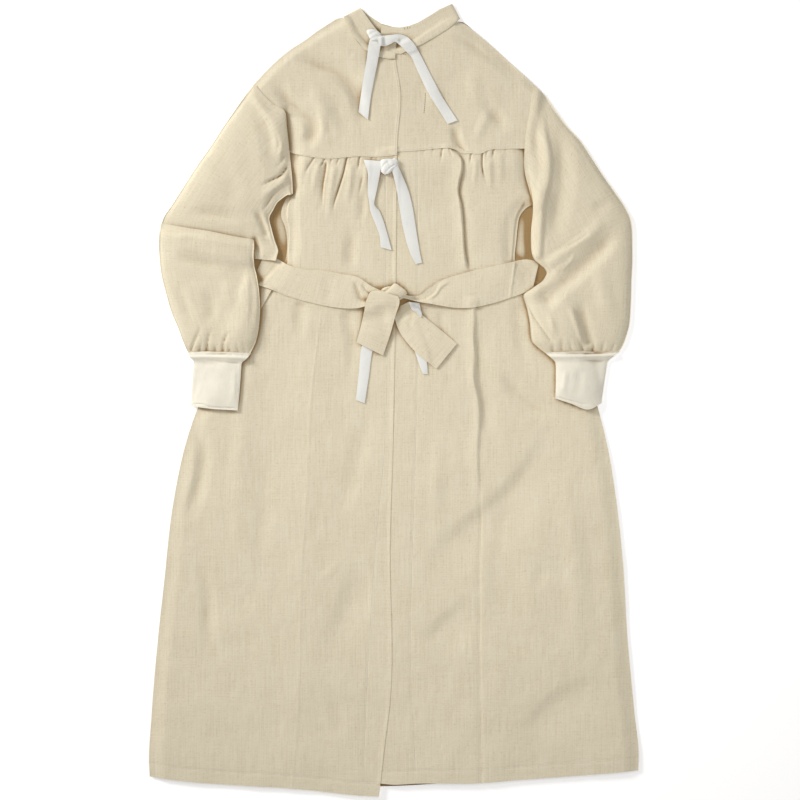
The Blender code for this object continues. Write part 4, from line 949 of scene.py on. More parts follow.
class Pile:
    """The cloth laid down so far, as heights on a fine raster of the plan."""

    def __init__(self):
        self.clear()

    def clear(self):
        """Takes all the cloth off."""
        rows = int((RASTER_HIGH[1] - RASTER_LOW[1]) / RASTER_CELL)
        columns = int((RASTER_HIGH[0] - RASTER_LOW[0]) / RASTER_CELL)
        self.top = np.zeros((rows, columns))

    def cells(self, plan):
        """Raster rows and columns, with fractions, of plan points."""
        row = (plan[..., 1] - RASTER_LOW[1]) / RASTER_CELL
        column = (plan[..., 0] - RASTER_LOW[0]) / RASTER_CELL
        return (np.clip(row, 1.0, self.top.shape[0] - 2.0),
                np.clip(column, 1.0, self.top.shape[1] - 2.0))

    def add(self, plan, height):
        """Lays a grid of plan points with the heights of its upper face on the pile."""
        for axis in (0, 1):
            step = np.linalg.norm(np.diff(plan, axis=axis), axis=-1).max()
            times = max(1, math.ceil(step / RASTER_CELL))
            plan = refined(plan, times, axis)
            height = refined(height, times, axis)
        row, column = self.cells(plan)
        np.maximum.at(self.top, (row.round().astype(int), column.round().astype(int)), height)

    def bed(self, plan, reach):
        """The pile's height under plan points, as cloth that bridges steps over a reach."""
        row, column = self.cells(plan)
        radius = max(1, round(reach / RASTER_CELL))
        edge = 2 * radius + 2
        row_low = max(0, int(row.min()) - edge)
        column_low = max(0, int(column.min()) - edge)
        window = self.top[row_low:int(row.max()) + edge, column_low:int(column.max()) + edge]
        soft = spread_highest(window, radius)
        for _ in range(2):
            soft = averaged(soft, max(1, radius // 2))
        return self.sample(soft, row - row_low, column - column_low)

    def surface(self, plan):
        """The pile's own height at plan points."""
        return self.sample(self.top, *self.cells(plan))

    @staticmethod
    def sample(values, row, column):
        row = np.clip(row, 0.0, values.shape[0] - 1.001)
        column = np.clip(column, 0.0, values.shape[1] - 1.001)
        r = row.astype(int)
        c = column.astype(int)
        dr = row - r
        dc = column - c
        return ((values[r, c] * (1 - dc) + values[r, c + 1] * dc) * (1 - dr)
                + (values[r + 1, c] * (1 - dc) + values[r + 1, c + 1] * dc) * dr)


PILE = Pile()


def new_shell(bm, outer, inner, grain, closed=False):
    """Adds a shell between two like grids of points to a bmesh; closed joins its two sides."""
    rows, columns = outer.shape[:2]
    layers = bm.loops.layers.uv
    uv_layer = layers.get(GRAIN_LAYER) or layers.new(GRAIN_LAYER)
    order = bm.verts.layers.int.get("order") or bm.verts.layers.int.new("order")
    made = bmesh.ops.create_grid(bm, x_segments=columns - 1, y_segments=rows - 1, size=1.0)
    points = outer.reshape(-1, 3).tolist()
    others = inner.reshape(-1, 3).tolist()
    grains = grain.reshape(-1, 2).tolist()
    verts = made["verts"]
    for index, vertex in enumerate(verts):
        vertex[order] = index
        vertex.co = points[index]
    faces = list({face for vertex in verts for face in vertex.link_faces})
    for face in faces:
        for corner in face.loops:
            corner[uv_layer].uv = grains[corner.vert[order]]
    if closed:
        bmesh.ops.remove_doubles(bm, verts=verts, dist=0.01 * MM)
        verts = [vertex for vertex in verts if vertex.is_valid]
    edges = list({edge for vertex in verts for edge in vertex.link_edges})
    copied = bmesh.ops.extrude_face_region(bm, geom=verts + edges + faces, use_keep_orig=True)
    new_verts = [item for item in copied["geom"] if isinstance(item, bmesh.types.BMVert)]
    for vertex in new_verts:
        vertex.co = others[vertex[order]]


def finish_object(name, bm, material, nodes, slot, sheet=None):
    """Turns a bmesh into a piece that rides on the smock and stands for its CAD nodes."""
    bmesh.ops.recalc_face_normals(bm, faces=bm.faces[:])
    mesh = bpy.data.meshes.new(name)
    bm.to_mesh(mesh)
    bm.free()
    mesh.shade_smooth()
    mesh.set_sharp_from_angle(angle=SHARP_ANGLE)
    mesh.materials.append(material)
    made = bpy.data.objects.new(name, mesh)
    bpy.context.scene.collection.objects.link(made)
    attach(made, "root")
    if nodes:
        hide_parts(*nodes)
    return made


def finish_shell(name, lower, upper, grain, *details):
    """Makes a piece of the shell between two like grids of points."""
    bm = bmesh.new()
    new_shell(bm, lower, upper, grain)
    finish_object(name, bm, *details)


def softened(values, radius):
    """A raster averaged twice within a radius, in cells."""
    return averaged(averaged(values, radius), radius)


def paint_shade_in_folds():
    """Paints shade on each piece where it lies below the cloth around it, from 0 to 1, as an
    attribute that darkens its colour.
    """
    calm = np.minimum(PILE.top, softened(PILE.top, CALM_RADIUS) + KNOT_LIMIT)
    wide = softened(calm, WIDE_RADIUS)
    near = softened(calm, NEAR_RADIUS)
    for made in bpy.data.objects:
        if not made.name.endswith("_cloth"):
            continue
        mesh = made.data
        spots = np.zeros(len(mesh.vertices) * 3)
        mesh.vertices.foreach_get("co", spots)
        spots = spots.reshape(-1, 3)
        normals = np.zeros(len(mesh.vertices) * 3)
        mesh.vertex_normals.foreach_get("vector", normals)
        plan = np.stack([spots[:, 0] / UNIT + PLAN_MIDDLE[0],
                         PLAN_MIDDLE[1] - spots[:, 1] / UNIT], axis=-1)
        row, column = PILE.cells(plan)
        # The back panel, where it shows in the gaps beside the sleeves, gets its painted shade over
        # a smaller drop, so it is painted darker
        reach = BACK_SHADE_DROP if made.name == "back_cloth" else CLOTH_SHADE_DROP
        broad = (PILE.sample(wide, row, column) - spots[:, 2]) / reach
        close = (PILE.sample(near, row, column) - spots[:, 2]) / CREASE_SHADE_DROP
        # Painted shade: the lower a piece lies below the cloth near and around it, the darker it is
        # painted; faces that look down get none
        painted_shade = WIDE_SHARE * np.clip(broad, 0.0, 1.2) + NEAR_SHARE * np.clip(close, 0.0, 1.0)
        painted_shade = np.clip(painted_shade, 0.0, 1.0) ** SHADE_POWER
        painted_shade = np.where(normals.reshape(-1, 3)[:, 2] < -0.2, 0.0, painted_shade)
        layer = mesh.attributes.new(PAINTED_SHADE_LAYER, "FLOAT", "POINT")
        layer.data.foreach_set("value", painted_shade)


def upright(plan, height, thickness):
    """The lower and upper face of cloth with that underside, as points in space."""
    return place(plan, height), place(plan, height + thickness)


def panel(plan, own, reach, gap):
    """Lays a panel on the pile: its lower and upper face; own is its height by itself."""
    height = np.maximum(own, PILE.bed(plan, reach) + gap)
    PILE.add(plan, height + sizes().linen)
    return upright(plan, height, sizes().linen)


def mesh_steps(length, factor=1.0):
    """How many mesh cells a length in plan units takes."""
    return max(2, round(length * UNIT / (sizes().cell * factor)))


def build_back():
    """The back panel, flat on the floor."""
    plan = patch(BACK_TOP, BACK_HEM, BACK_SIDE_LEFT, BACK_SIDE_RIGHT,
                 crowded(mesh_steps(690, 2.8), (0.27, 0.06, 5.0)),
                 crowded(mesh_steps(400, 1.8), (0.09, 0.04, 5.0), (0.893, 0.03, 4.0)))
    lower, upper = panel(plan, np.zeros(plan.shape[:-1]) - sizes().gap, 1.0, sizes().gap)
    lower[..., 2] = 0.0
    finish_shell("back_cloth", lower, upper, plan * UNIT, linen(), ["back_panel"], "linen",
                 (0.80, 1.22, 0.80, "laid", ["floor"]))


def front_rise(plan, edge, reach):
    """How far a front stands off the back: nothing at its edge, all of it a reach inside."""
    distance = nearest(plan.reshape(-1, 2), through(edge, 4))[0].reshape(plan.shape[:-1])
    return sizes().rise * (EDGE_SHARE + (1.0 - EDGE_SHARE) * smooth(distance / reach))


def lay_front(node, plan, own, folds, seam, lowest, reach, gap, sheet):
    """Lays one panel of the fronts, with its folds and its fullness, on the pile."""
    own = own + relief(folds, plan) + unevenness(plan, FRONT_SEED) + bulge_below(plan, seam)
    lower, upper = panel(plan, np.maximum(own, lowest), reach, gap)
    finish_shell(f"{node}_cloth", lower, upper, plan * UNIT, linen(), [node], "linen", sheet)


def build_fronts():
    """The two gathered fronts and the two yokes, the left ones over the right ones."""
    base = sizes().linen + sizes().gap
    top = base + sizes().linen + SEAM_GAP
    down = ARMHOLE_RIGHT[3:] + FRONT_SIDE_RIGHT[1:]
    plan = patch(SKIRT_TOP_RIGHT, HEM_RIGHT, OPENING_RIGHT, down,
                 crowded(mesh_steps(630, 1.5), (0.0, 0.1, 2.0), (0.98, 0.015, 2.0)),
                 crowded(mesh_steps(215, 0.57), (0.2, 0.05, 0.6), (0.55, 0.1, 0.7),
                         (1.0, 0.05, 1.2)))
    own = base + front_rise(plan, down, SIDE_REACH) - lap_depth(plan, OPENING_LEFT, LAP_STEP)
    folds = GATHERS_RIGHT + FOLDS_RIGHT + (sewn(PLACKET_RIGHT), sewn(hem_line(HEM_RIGHT)))
    lay_front("skirt_right", plan, own, folds, YOKE_SEAM_RIGHT, base, 4.0, sizes().gap,
              (0.56, 1.04, 0.42, "gathered", ["back_cloth"]))
    STITCHES.run(PLACKET_RIGHT)
    STITCHES.run(hem_line(HEM_RIGHT))

    down = ARMHOLE_LEFT[3:] + FRONT_SIDE_LEFT[1:]
    plan = patch(SKIRT_TOP_LEFT, HEM_LEFT, down, OPENING_LEFT,
                 crowded(mesh_steps(640, 1.5), (0.0, 0.1, 2.0), (0.98, 0.015, 2.0)),
                 crowded(mesh_steps(205, 0.56), (0.0, 0.05, 1.4), (0.91, 0.04, 0.8),
                         (0.4, 0.2, 0.5)))
    folds = GATHERS_LEFT + FOLDS_LEFT + (sewn(PLACKET_LEFT), sewn(hem_line(HEM_LEFT)))
    lay_front("skirt_left", plan, base + front_rise(plan, down, SIDE_REACH), folds,
              YOKE_SEAM_LEFT, base, LAP_REACH, SEAM_GAP,
              (0.54, 1.04, 0.40, "gathered", ["back_cloth", "skirt_right_cloth"]))
    STITCHES.run(PLACKET_LEFT)
    STITCHES.run(hem_line(HEM_LEFT))

    plan = patch(YOKE_TOP_RIGHT, YOKE_SEAM_RIGHT, YOKE_OPENING_RIGHT, ARMHOLE_RIGHT[:4],
                 crowded(mesh_steps(100, 0.7)), crowded(mesh_steps(160, 0.7), (0.3, 0.03, 1.5)))
    own = (top + front_rise(plan, SHOULDER_RIGHT, SHOULDER_REACH)
           - lap_depth(plan, YOKE_OPENING_LEFT, 0.0))
    lay_front("yoke_right", plan, own, YOKE_FOLDS_RIGHT, YOKE_SEAM_RIGHT, base, LAP_REACH,
              SEAM_GAP, (0.26, 0.22, 0.042, "laid", ["back_cloth", "skirt_right_cloth"]))
    STITCHES.run([(u, v - SEAM_INSET) for u, v in YOKE_SEAM_RIGHT[1:]])

    plan = patch(YOKE_TOP_LEFT, YOKE_SEAM_LEFT, ARMHOLE_LEFT[:4], YOKE_OPENING_LEFT,
                 crowded(mesh_steps(100, 0.7)), crowded(mesh_steps(160, 0.7)))
    lay_front("yoke_left", plan, top + front_rise(plan, SHOULDER_LEFT, SHOULDER_REACH),
              YOKE_FOLDS_LEFT, YOKE_SEAM_LEFT, top, LAP_REACH, SEAM_GAP,
              (0.24, 0.22, 0.040, "laid", ["back_cloth", "skirt_left_cloth"]))
    STITCHES.run([(u, v - SEAM_INSET) for u, v in YOKE_SEAM_LEFT])
    STITCHES.run([(u - OPENING_INSET, v) for u, v in YOKE_OPENING_LEFT])


def lap_depth(plan, edge, step):
    """How much lower the cloth lies where it runs below the lap with that edge."""
    line = through(edge, 4)
    beyond = plan[..., 0] - np.interp(plan[..., 1], line[:, 1], line[:, 0])
    return (sizes().linen + sizes().gap + step) * (1.0 - smooth((beyond + LAP_START) / LAP_RUN))


def bulge_below(plan, seam):
    """The fullness of the gathers just below a yoke's seam."""
    line = through(seam, 4)
    below = plan[..., 1] - np.interp(plan[..., 0], line[:, 0], line[:, 1])
    return BULGE * np.exp(-((below - BULGE_MIDDLE) / BULGE_REACH) ** 2)


def sewn(path):
    """The groove that a row of stitches draws into the cloth."""
    return Fold(path, SEWN_REACH, SEWN_REACH, SEWN_DEPTH, 0, 0, True)


def hem_line(hem):
    """The row of stitches over a hem."""
    return [(u, v - HEM_DEPTH) for u, v in hem]


class Stitches:
    """Rows of stitches, collected as they are sewn and made as one piece."""

    def __init__(self):
        self.clear()

    def clear(self):
        """Forgets the rows sewn so far."""
        self.spots = []

    def run(self, path):
        """Sews a row of stitches along a path on top of the pile."""
        line = through([tuple(point) for point in path], 8)
        count = int(passed_lengths(line)[-1] * UNIT / sizes().stitch)
        ends = curve(line, np.linspace(0.0, 1.0, count + 1), 1)
        start = ends[:-1]
        stop = ends[:-1] * (1.0 - STITCH_SHARE) + ends[1:] * STITCH_SHARE
        rows = [place(spots, PILE.surface(spots) + STITCH_LIFT) for spots in (start, stop)]
        self.spots += list(zip(*(row.tolist() for row in rows)))

    def build(self, name, material, width):
        """Makes the piece from thread of that width."""
        bm = bmesh.new()
        for first, last in self.spots:
            first = Vector(first)
            run = Vector(last) - first
            turn = run.to_track_quat("Z", "Y").to_matrix().to_4x4()
            size = Matrix.Diagonal((width / 2, width / 2, run.length * 0.7, 1.0))
            middle = Matrix.Translation(first + run / 2)
            bmesh.ops.create_icosphere(bm, subdivisions=1, radius=1.0,
                                       matrix=middle @ turn @ size)
        finish_object(name, bm, material, [], None)


STITCHES = Stitches()
DARNING = Stitches()


def build_collar():
    """The stand collar: one band, folded over itself at the two sides of the neck."""
    table = refined(np.array(COLLAR, float), COLLAR_STEPS, 0)
    shares = np.linspace(0.0, 1.0, COLLAR_POINTS)[None, :, None]
    plan = table[:, None, 0:2] * (1 - shares) + table[:, None, 2:4] * shares
    turn = table[:, None, 5]
    angle = np.pi * turn
    half = sizes().linen * 0.9
    bottom = np.where(turn % 2.0 < 0.25, PILE.bed(plan, 4.0) + sizes().gap + half, 0.0)
    middle = np.maximum(table[:, None, 4] * MM, bottom)
    middle = middle + unevenness(plan, COLLAR_SEED) * 0.3 * (np.cos(angle) > 0.9)
    points = place(plan, middle)
    edge = points[:, -1] - points[:, 0]
    side = np.cross(edge, (0.0, 0.0, 1.0))
    side /= np.linalg.norm(side, axis=-1, keepdims=True)
    away = points[:, COLLAR_MIDDLE] - place(np.array(NECK_SPOT), np.array(0.0))
    side *= np.sign((side * away).sum(axis=-1, keepdims=True))
    sideways = side * np.abs(np.sin(angle))
    normal = np.stack([sideways[:, 0], sideways[:, 1], np.cos(angle)[:, 0]], axis=-1)
    normal /= np.linalg.norm(normal, axis=-1, keepdims=True)
    points = points + (sideways * COLLAR_TURN)[:, None]
    outer = points + normal[:, None] * half
    inner = points - normal[:, None] * half
    grain = np.stack(np.broadcast_arrays(passed_lengths(points[:, COLLAR_MIDDLE])[:, None],
                                         shares[0, :, 0] * COLLAR_WIDTH), axis=-1)
    for rows in COLLAR_LAID:
        PILE.add(plan[rows], np.maximum(outer, inner)[rows, :, 2])
    finish_shell("collar_cloth", outer, inner, grain, linen(), ["collar_band"], "linen",
                 (0.44, 0.035, None, "folded", ["back_cloth", "yoke_left_cloth"]))
    DARNING.run(SLIT_MARK)
    for mark in NOTCH_MARKS:
        DARNING.run(mark)
    for share in COLLAR_STITCH_ROWS:
        for rows in COLLAR_SEWN:
            STITCHES.run([(row.u1 + (row.u2 - row.u1) * share, row.v1 + (row.v2 - row.v1) * share)
                          for row in COLLAR[rows]])


def strip_grid(sections, rows, columns):
    """The plan points, heights over the bed and crowns of a strip."""
    table = np.array(sections, float)
    lengths = passed_lengths((table[:, 0:2] + table[:, 3:5]) / 2)
    line = through(np.column_stack([lengths, table]), 8)
    spots = np.linspace(0.0, lengths[-1], rows + 1)
    table = np.stack([np.interp(spots, line[:, 0], line[:, k]) for k in range(1, 8)], axis=-1)
    shares = np.linspace(0.0, 1.0, columns + 1)[None, :, None]
    plan = table[:, None, 0:2] * (1 - shares) + table[:, None, 3:5] * shares
    share = shares[..., 0]
    height = table[:, None, 2] * (1 - share) + table[:, None, 5] * share
    height = height + table[:, None, 6] * 4.0 * share * (1 - share)
    width = np.linalg.norm(table[:, 0:2] - table[:, 3:5], axis=-1).mean()
    grain = np.stack(np.broadcast_arrays(spots[:, None], share * width), axis=-1) * UNIT
    return plan, height * MM, grain


def belting():
    """What the belt is made of: its material, its slot and its thickness."""
    return linen(), "linen", sizes().belt


def taping():
    """What the tapes are made of: their material, their slot and their thickness."""
    return cotton(), "cotton_tape", sizes().tape


def ribbon(name, nodes, sections, stuff, flat, rests_on, folds=(), reach=2.5, cell=1.1 * MM):
    """A strip of belt or tape laid on the pile."""
    material, slot, thickness = stuff
    table = np.array(sections, float)
    length = passed_lengths((table[:, 0:2] + table[:, 3:5]) / 2)[-1]
    width = np.linalg.norm(table[:, 0:2] - table[:, 3:5], axis=-1).max()
    plan, height, grain = strip_grid(sections, round(length * UNIT / cell),
                                     max(4, round(width * UNIT / cell)))
    height = height + relief(folds, plan)
    height = np.maximum(height, 0.0) + PILE.bed(plan, reach) + sizes().gap
    lower, upper = upright(plan, height, thickness)
    PILE.add(plan, height + thickness)
    finish_shell(name, lower, upper, grain, material, nodes, slot,
                 (*flat, None, "laid", list(rests_on)))


def knot(name, nodes, wraps, stuff, flat, rests_on, folds=()):
    """A knot: short wraps over the middle, each a strip that curls down at its sides."""
    material, slot, thickness = stuff
    edge = KNOT_CURL * np.abs(np.linspace(-1.0, 1.0, KNOT_COLUMNS + 1)[None, :]) ** 4
    centre = slice(KNOT_COLUMNS // 2, KNOT_COLUMNS // 2 + 1)
    bm = bmesh.new()
    for wrap in wraps:
        plan, height, grain = strip_grid(wrap, KNOT_ROWS, KNOT_COLUMNS)
        base = (PILE.bed(plan[:, centre], KNOT_REACH).min() * 0.5
                + PILE.bed(plan, KNOT_REACH).mean() * 0.5)
        height = np.maximum(base + height * KNOT_PRESS - edge + relief(folds, plan), KNOT_LOWEST)
        lower, upper = upright(plan, height, thickness)
        new_shell(bm, lower, upper, grain)
        top = height + thickness
    PILE.add(plan, top)
    finish_object(name, bm, material, nodes, slot, (*flat, None, "folded", list(rests_on)))


def build_tapes():
    """The cotton tapes tied at the neck and the chest, and the ends of those at the waist."""
    tape = taping()
    ribbon("neck_tape_left_cloth", ["neck_tape_left"], NECK_TAIL_LEFT, tape, (0.125, 0.0155),
           YOKES)
    ribbon("neck_tape_right_cloth", ["neck_tape_right"], NECK_BRIDGE, tape, (0.18, 0.0155), YOKES)
    knot("neck_knot_cloth", ["neck_tape_knot"], NECK_KNOT, tape, (0.045, 0.0155),
         ["collar_cloth"], KNOT_FOLDS)
    ribbon("chest_tape_left_cloth", ["chest_tape_left"], CHEST_TAIL_LEFT, tape, (0.15, 0.0155),
           SKIRTS)
    ribbon("chest_tape_right_cloth", ["chest_tape_right"], CHEST_TAIL_RIGHT, tape,
           (0.16, 0.0155), SKIRTS)
    knot("chest_knot_cloth", ["chest_tape_knot"], CHEST_KNOT, tape, (0.05, 0.0165), SKIRTS,
         KNOT_FOLDS)
    ribbon("waist_tape_left_cloth", ["waist_tape_left"], WAIST_TAIL_LEFT, tape, (0.15, 0.0155),
           SKIRTS)
    ribbon("waist_tape_right_cloth", ["waist_tape_right"], WAIST_TAIL_RIGHT, tape,
           (0.09, 0.0155), SKIRTS)


def build_belt():
    """The belt: its two stretches, its two tails and the knot, with the loop of tape over it."""
    belt = belting()
    ribbon("belt_turn_cloth", [], BELT_TURN, belt, (0.03, 0.03), SKIRTS, (), 3.0, 1.6 * MM)
    ribbon("belt_left_cloth", ["belt_left"], BELT_LEFT, belt, (0.19, 0.052), SKIRTS, BELT_FOLDS,
           3.0, 1.6 * MM)
    ribbon("belt_right_cloth", ["belt_right"], BELT_RIGHT, belt, (0.24, 0.05), SKIRTS,
           BELT_FOLDS, 3.0, 1.6 * MM)
    ribbon("belt_tail_right_cloth", ["belt_tail_right"], BELT_TAIL_RIGHT, belt, (0.11, 0.05),
           SKIRTS, BELT_FOLDS[-1:], 3.0, 1.3 * MM)
    ribbon("waist_loop_cloth", ["waist_tape_loop"], WAIST_LOOP, taping(), (0.03, 0.0135),
           ["belt_tail_right_cloth"], reach=1.5)
    knot("belt_knot_cloth", ["belt_knot"], BELT_KNOT[:1], belt, (0.045, 0.02),
         ["belt_left_cloth"], KNOT_FOLDS)
    ribbon("belt_tail_left_cloth", ["belt_tail_left"], BELT_TAIL_LEFT, belt, (0.105, 0.05),
           ["belt_left_cloth"], (), 7.0, 1.3 * MM)
    knot("belt_wrap_cloth", [], BELT_KNOT[1:], belt, (0.035, 0.02), ["belt_knot_cloth"])


def tube(bm, lines, folds, rows, columns, thickness, seed, bed_reach=6.0, start_reach=0.6,
         curl=2.2):
    """Adds a flattened tube of cloth to a bmesh: a lower wall on the pile, an upper one over it."""
    shares = (1.0 - np.cos(np.pi * np.arange(columns + 1) / columns)) / 2.0
    plan, rise = loft([line.path for line in lines], [[line.rise] for line in lines], rows,
                      shares)
    onward = smooth(np.linspace(0.0, 1.0, rows + 1) / TUBE_START)[:, None]
    bed = PILE.bed(plan, bed_reach) * onward + PILE.bed(plan, start_reach) * (1.0 - onward)
    bed += sizes().gap * (PILE.surface(plan) > 0.1 * MM)
    width = np.linalg.norm(plan[:, -1] - plan[:, 0], axis=-1)[:, None]
    inside = np.minimum(shares, 1.0 - shares)[None, :] * width
    lift = curl * MM * (1.0 - smooth(inside / TUBE_CURL_WIDTH))
    low = bed + lift * np.clip(rise / TUBE_CURL_RISE, 0.1, 1.0)
    round_edge = (1.0 - np.abs(2.0 * shares - 1.0) ** 3.0) ** 0.5
    puff = rise * MM * round_edge[None, :]
    shape = relief(folds, plan) + unevenness(plan, seed)
    gap = (puff + shape * smooth(inside / TUBE_FOLD_WIDTH)
           * np.clip(rise / TUBE_FOLD_RISE, 0.2, 1.0))
    least = (0.05 + 0.75 * onward) * MM
    wall = thickness * (0.3 + 0.7 * onward)
    high = np.maximum(bed + gap, low + least) + 2.0 * wall
    first = place(plan[:, :1], (low[:, :1] + high[:, :1]) / 2)
    last = place(plan[:, -1:], (low[:, -1:] + high[:, -1:]) / 2)
    under = place(plan, low)[:, 1:-1]
    over = place(plan, high)[:, 1:-1][:, ::-1]
    step = wall[..., None] * np.array([0.0, 0.0, 1.0])
    sideways = last - first
    sideways = sideways / np.linalg.norm(sideways, axis=-1, keepdims=True) * wall[..., None] * 1.1
    outer = np.concatenate([first, under, last, over, first], axis=1)
    inner = np.concatenate([first + sideways, under + step, last - sideways, over - step,
                            first + sideways], axis=1)
    around = passed_lengths(outer[rows // 2])
    lengths = passed_lengths(outer[:, columns // 2])
    grain = np.stack(np.broadcast_arrays(around[None, :], lengths[:, None]), axis=-1)
    new_shell(bm, outer, inner, grain, closed=True)
    PILE.add(plan, high)


def build_sleeves():
    """The two full sleeves, laid over the sides of the body."""
    linen_wall = sizes().linen
    body = ["back_cloth", "skirt_left_cloth", "belt_left_cloth"]
    bm = bmesh.new()
    tube(bm, UPPER_ARM_LEFT, ARM_FOLDS_LEFT, mesh_steps(150, 0.62), 84, linen_wall, 61,
         start_reach=SLEEVE_START_REACH)
    tube(bm, FOREARM_LEFT, FOREARM_FOLDS_LEFT, mesh_steps(130, 0.62), 70, linen_wall, 67)
    finish_object("sleeve_left_cloth", bm, linen(), ["sleeve_left"], "linen",
                  (0.36, 0.45, 0.13, "gathered", body))
    bm = bmesh.new()
    tube(bm, SLEEVE_RIGHT, ARM_FOLDS_RIGHT, mesh_steps(250, 0.68), 90, linen_wall, 71,
         start_reach=SLEEVE_START_REACH)
    finish_object("sleeve_right_cloth", bm, linen(), ["sleeve_right"], "linen",
                  (0.36, 0.45, 0.13, "gathered", ["back_cloth", "skirt_right_cloth"]))


def build_cuffs():
    """The knitted cuffs."""
    for side, lines, folds, seed in (("left", CUFF_LEFT, CUFF_FOLDS_LEFT, 81),
                                     ("right", CUFF_RIGHT, CUFF_FOLDS_RIGHT, 83)):
        bm = bmesh.new()
        tube(bm, lines, folds, CUFF_ROWS, CUFF_COLUMNS, sizes().jersey, seed, 5.0, curl=0.5)
        finish_object(f"cuff_{side}_cloth", bm, jersey(), [f"cuff_{side}"], "jersey",
                      (0.16, 0.085, None, "laid", [f"skirt_{side}_cloth"]))


class Nodes:
    """Makes and joins the nodes of a material."""

    def __init__(self, name):
        self.material = bpy.data.materials.new(name)
        self.material.use_nodes = True
        self.tree = self.material.node_tree
        self.shader = self.tree.nodes["Principled BSDF"]

    def add(self, kind, inputs=None, **settings):
        """A new node with its settings, and its inputs as values or links."""
        made = self.tree.nodes.new(kind)
        for key, value in settings.items():
            setattr(made, key, value)
        for key, value in (inputs or {}).items():
            self.feed(made.inputs[key], value)
        return made

    def feed(self, socket, value):
        """Sets or links an input."""
        if isinstance(value, bpy.types.NodeSocket):
            self.tree.links.new(value, socket)
        else:
            socket.default_value = value

    def set_shader(self, inputs):
        """Sets or links inputs of the material's shader."""
        for key, value in inputs.items():
            self.feed(self.shader.inputs[key], value)

    def maths(self, operation, *values):
        """The result of a Math node."""
        made = self.add("ShaderNodeMath", operation=operation)
        for socket, value in zip(made.inputs, values):
            self.feed(socket, value)
        return made.outputs[0]

    def stretched_noise(self, vector, scale, detail=2.0):
        """Noise on coordinates scaled by a vector, from 0 to 1."""
        mapped = self.add("ShaderNodeMapping", {"Vector": vector, "Scale": scale})
        noise = self.add("ShaderNodeTexNoise",
                         {"Vector": mapped.outputs[0], "Scale": 1.0, "Detail": detail,
                          "Roughness": 0.6})
        return noise.outputs["Fac"]

    def wave(self, vector, scale, direction, distortion=0.0):
        """Sine bands across one direction, from 0 to 1."""
        made = self.add("ShaderNodeTexWave", {"Vector": vector, "Scale": scale,
                                              "Distortion": distortion, "Detail": 0.0},
                        wave_type="BANDS", bands_direction=direction)
        return made.outputs["Fac"]

    def grain(self):
        """The piece's own coordinates, in metres along its threads."""
        return self.add("ShaderNodeUVMap", uv_map=GRAIN_LAYER).outputs[0]


def finish_cloth(nodes, tone, stops, height, strength, distance):
    """Sets a cloth's colour from a tone, darkened by the painted shade in its folds and recesses,
    and its bump from a height.
    """
    ramp = nodes.add("ShaderNodeValToRGB", {"Fac": tone})
    elements = ramp.color_ramp.elements
    elements[0].position = 0.0
    elements[0].color = (*stops[0], 1.0)
    elements[1].position = 1.0
    elements[1].color = (*stops[2], 1.0)
    middle = elements.new(0.5)
    middle.color = (*stops[1], 1.0)
    bump = nodes.add("ShaderNodeBump", {"Height": height, "Strength": strength,
                                        "Distance": distance})
    # Painted shade: the colour is multiplied towards a brown tint where the painted shade attribute
    # is high
    painted_shade = nodes.add("ShaderNodeAttribute", attribute_name=PAINTED_SHADE_LAYER).outputs["Fac"]
    painted_shade_colour = nodes.add("ShaderNodeMixRGB", {"Fac": painted_shade, "Color1": ramp.outputs["Color"],
                                              "Color2": PAINTED_SHADE_TINT}, blend_type="MULTIPLY")
    nodes.set_shader({"Base Color": painted_shade_colour.outputs[0], "Normal": bump.outputs["Normal"]})


def linen():
    """Undyed linen: slubby threads both ways, flecks and a plain weave."""
    known = bpy.data.materials.get("linen_cloth")
    if known:
        return known
    nodes = Nodes("linen_cloth")
    grain = nodes.grain()
    weft = nodes.stretched_noise(grain, (22.0, 620.0, 1.0), 3.0)
    warp = nodes.stretched_noise(grain, (560.0, 16.0, 1.0), 3.0)
    slub = nodes.stretched_noise(grain, (60.0, 380.0, 1.0), 1.0)
    cloud = nodes.stretched_noise(grain, (24.0, 18.0, 1.0), 2.0)
    fleck = nodes.maths("POWER", nodes.stretched_noise(grain, (240.0, 420.0, 1.0), 1.0), 6.0)
    tone = nodes.maths("MULTIPLY_ADD", weft, 0.45, -0.28)
    tone = nodes.maths("MULTIPLY_ADD", warp, 0.85, tone)
    tone = nodes.maths("MULTIPLY_ADD", slub, 0.15, tone)
    tone = nodes.maths("MULTIPLY_ADD", cloud, 0.18, tone)
    tone = nodes.maths("MULTIPLY_ADD", fleck, -1.5, tone)
    across = nodes.wave(grain, 350.0, "X", 0.6)
    along = nodes.wave(grain, 330.0, "Y", 0.6)
    weave = nodes.maths("MULTIPLY", across, along)
    height = nodes.maths("MULTIPLY_ADD", weft, 1.2, weave)
    height = nodes.maths("MULTIPLY_ADD", warp, 0.8, height)
    crumple = nodes.stretched_noise(grain, (26.0, 20.0, 1.0), 3.0)
    crumple = nodes.maths("ABSOLUTE", nodes.maths("SUBTRACT", crumple, 0.5))
    height = nodes.maths("MULTIPLY_ADD", crumple, -12.0, height)
    look = colours()
    finish_cloth(nodes, tone, (look.linen_dark, look.linen, look.linen_light), height, 0.5,
                 0.35 * MM)
    nodes.set_shader({"Roughness": 0.88, "Specular IOR Level": 0.25, "Sheen Weight": 0.12,
                      "Sheen Roughness": 0.6})
    return nodes.material


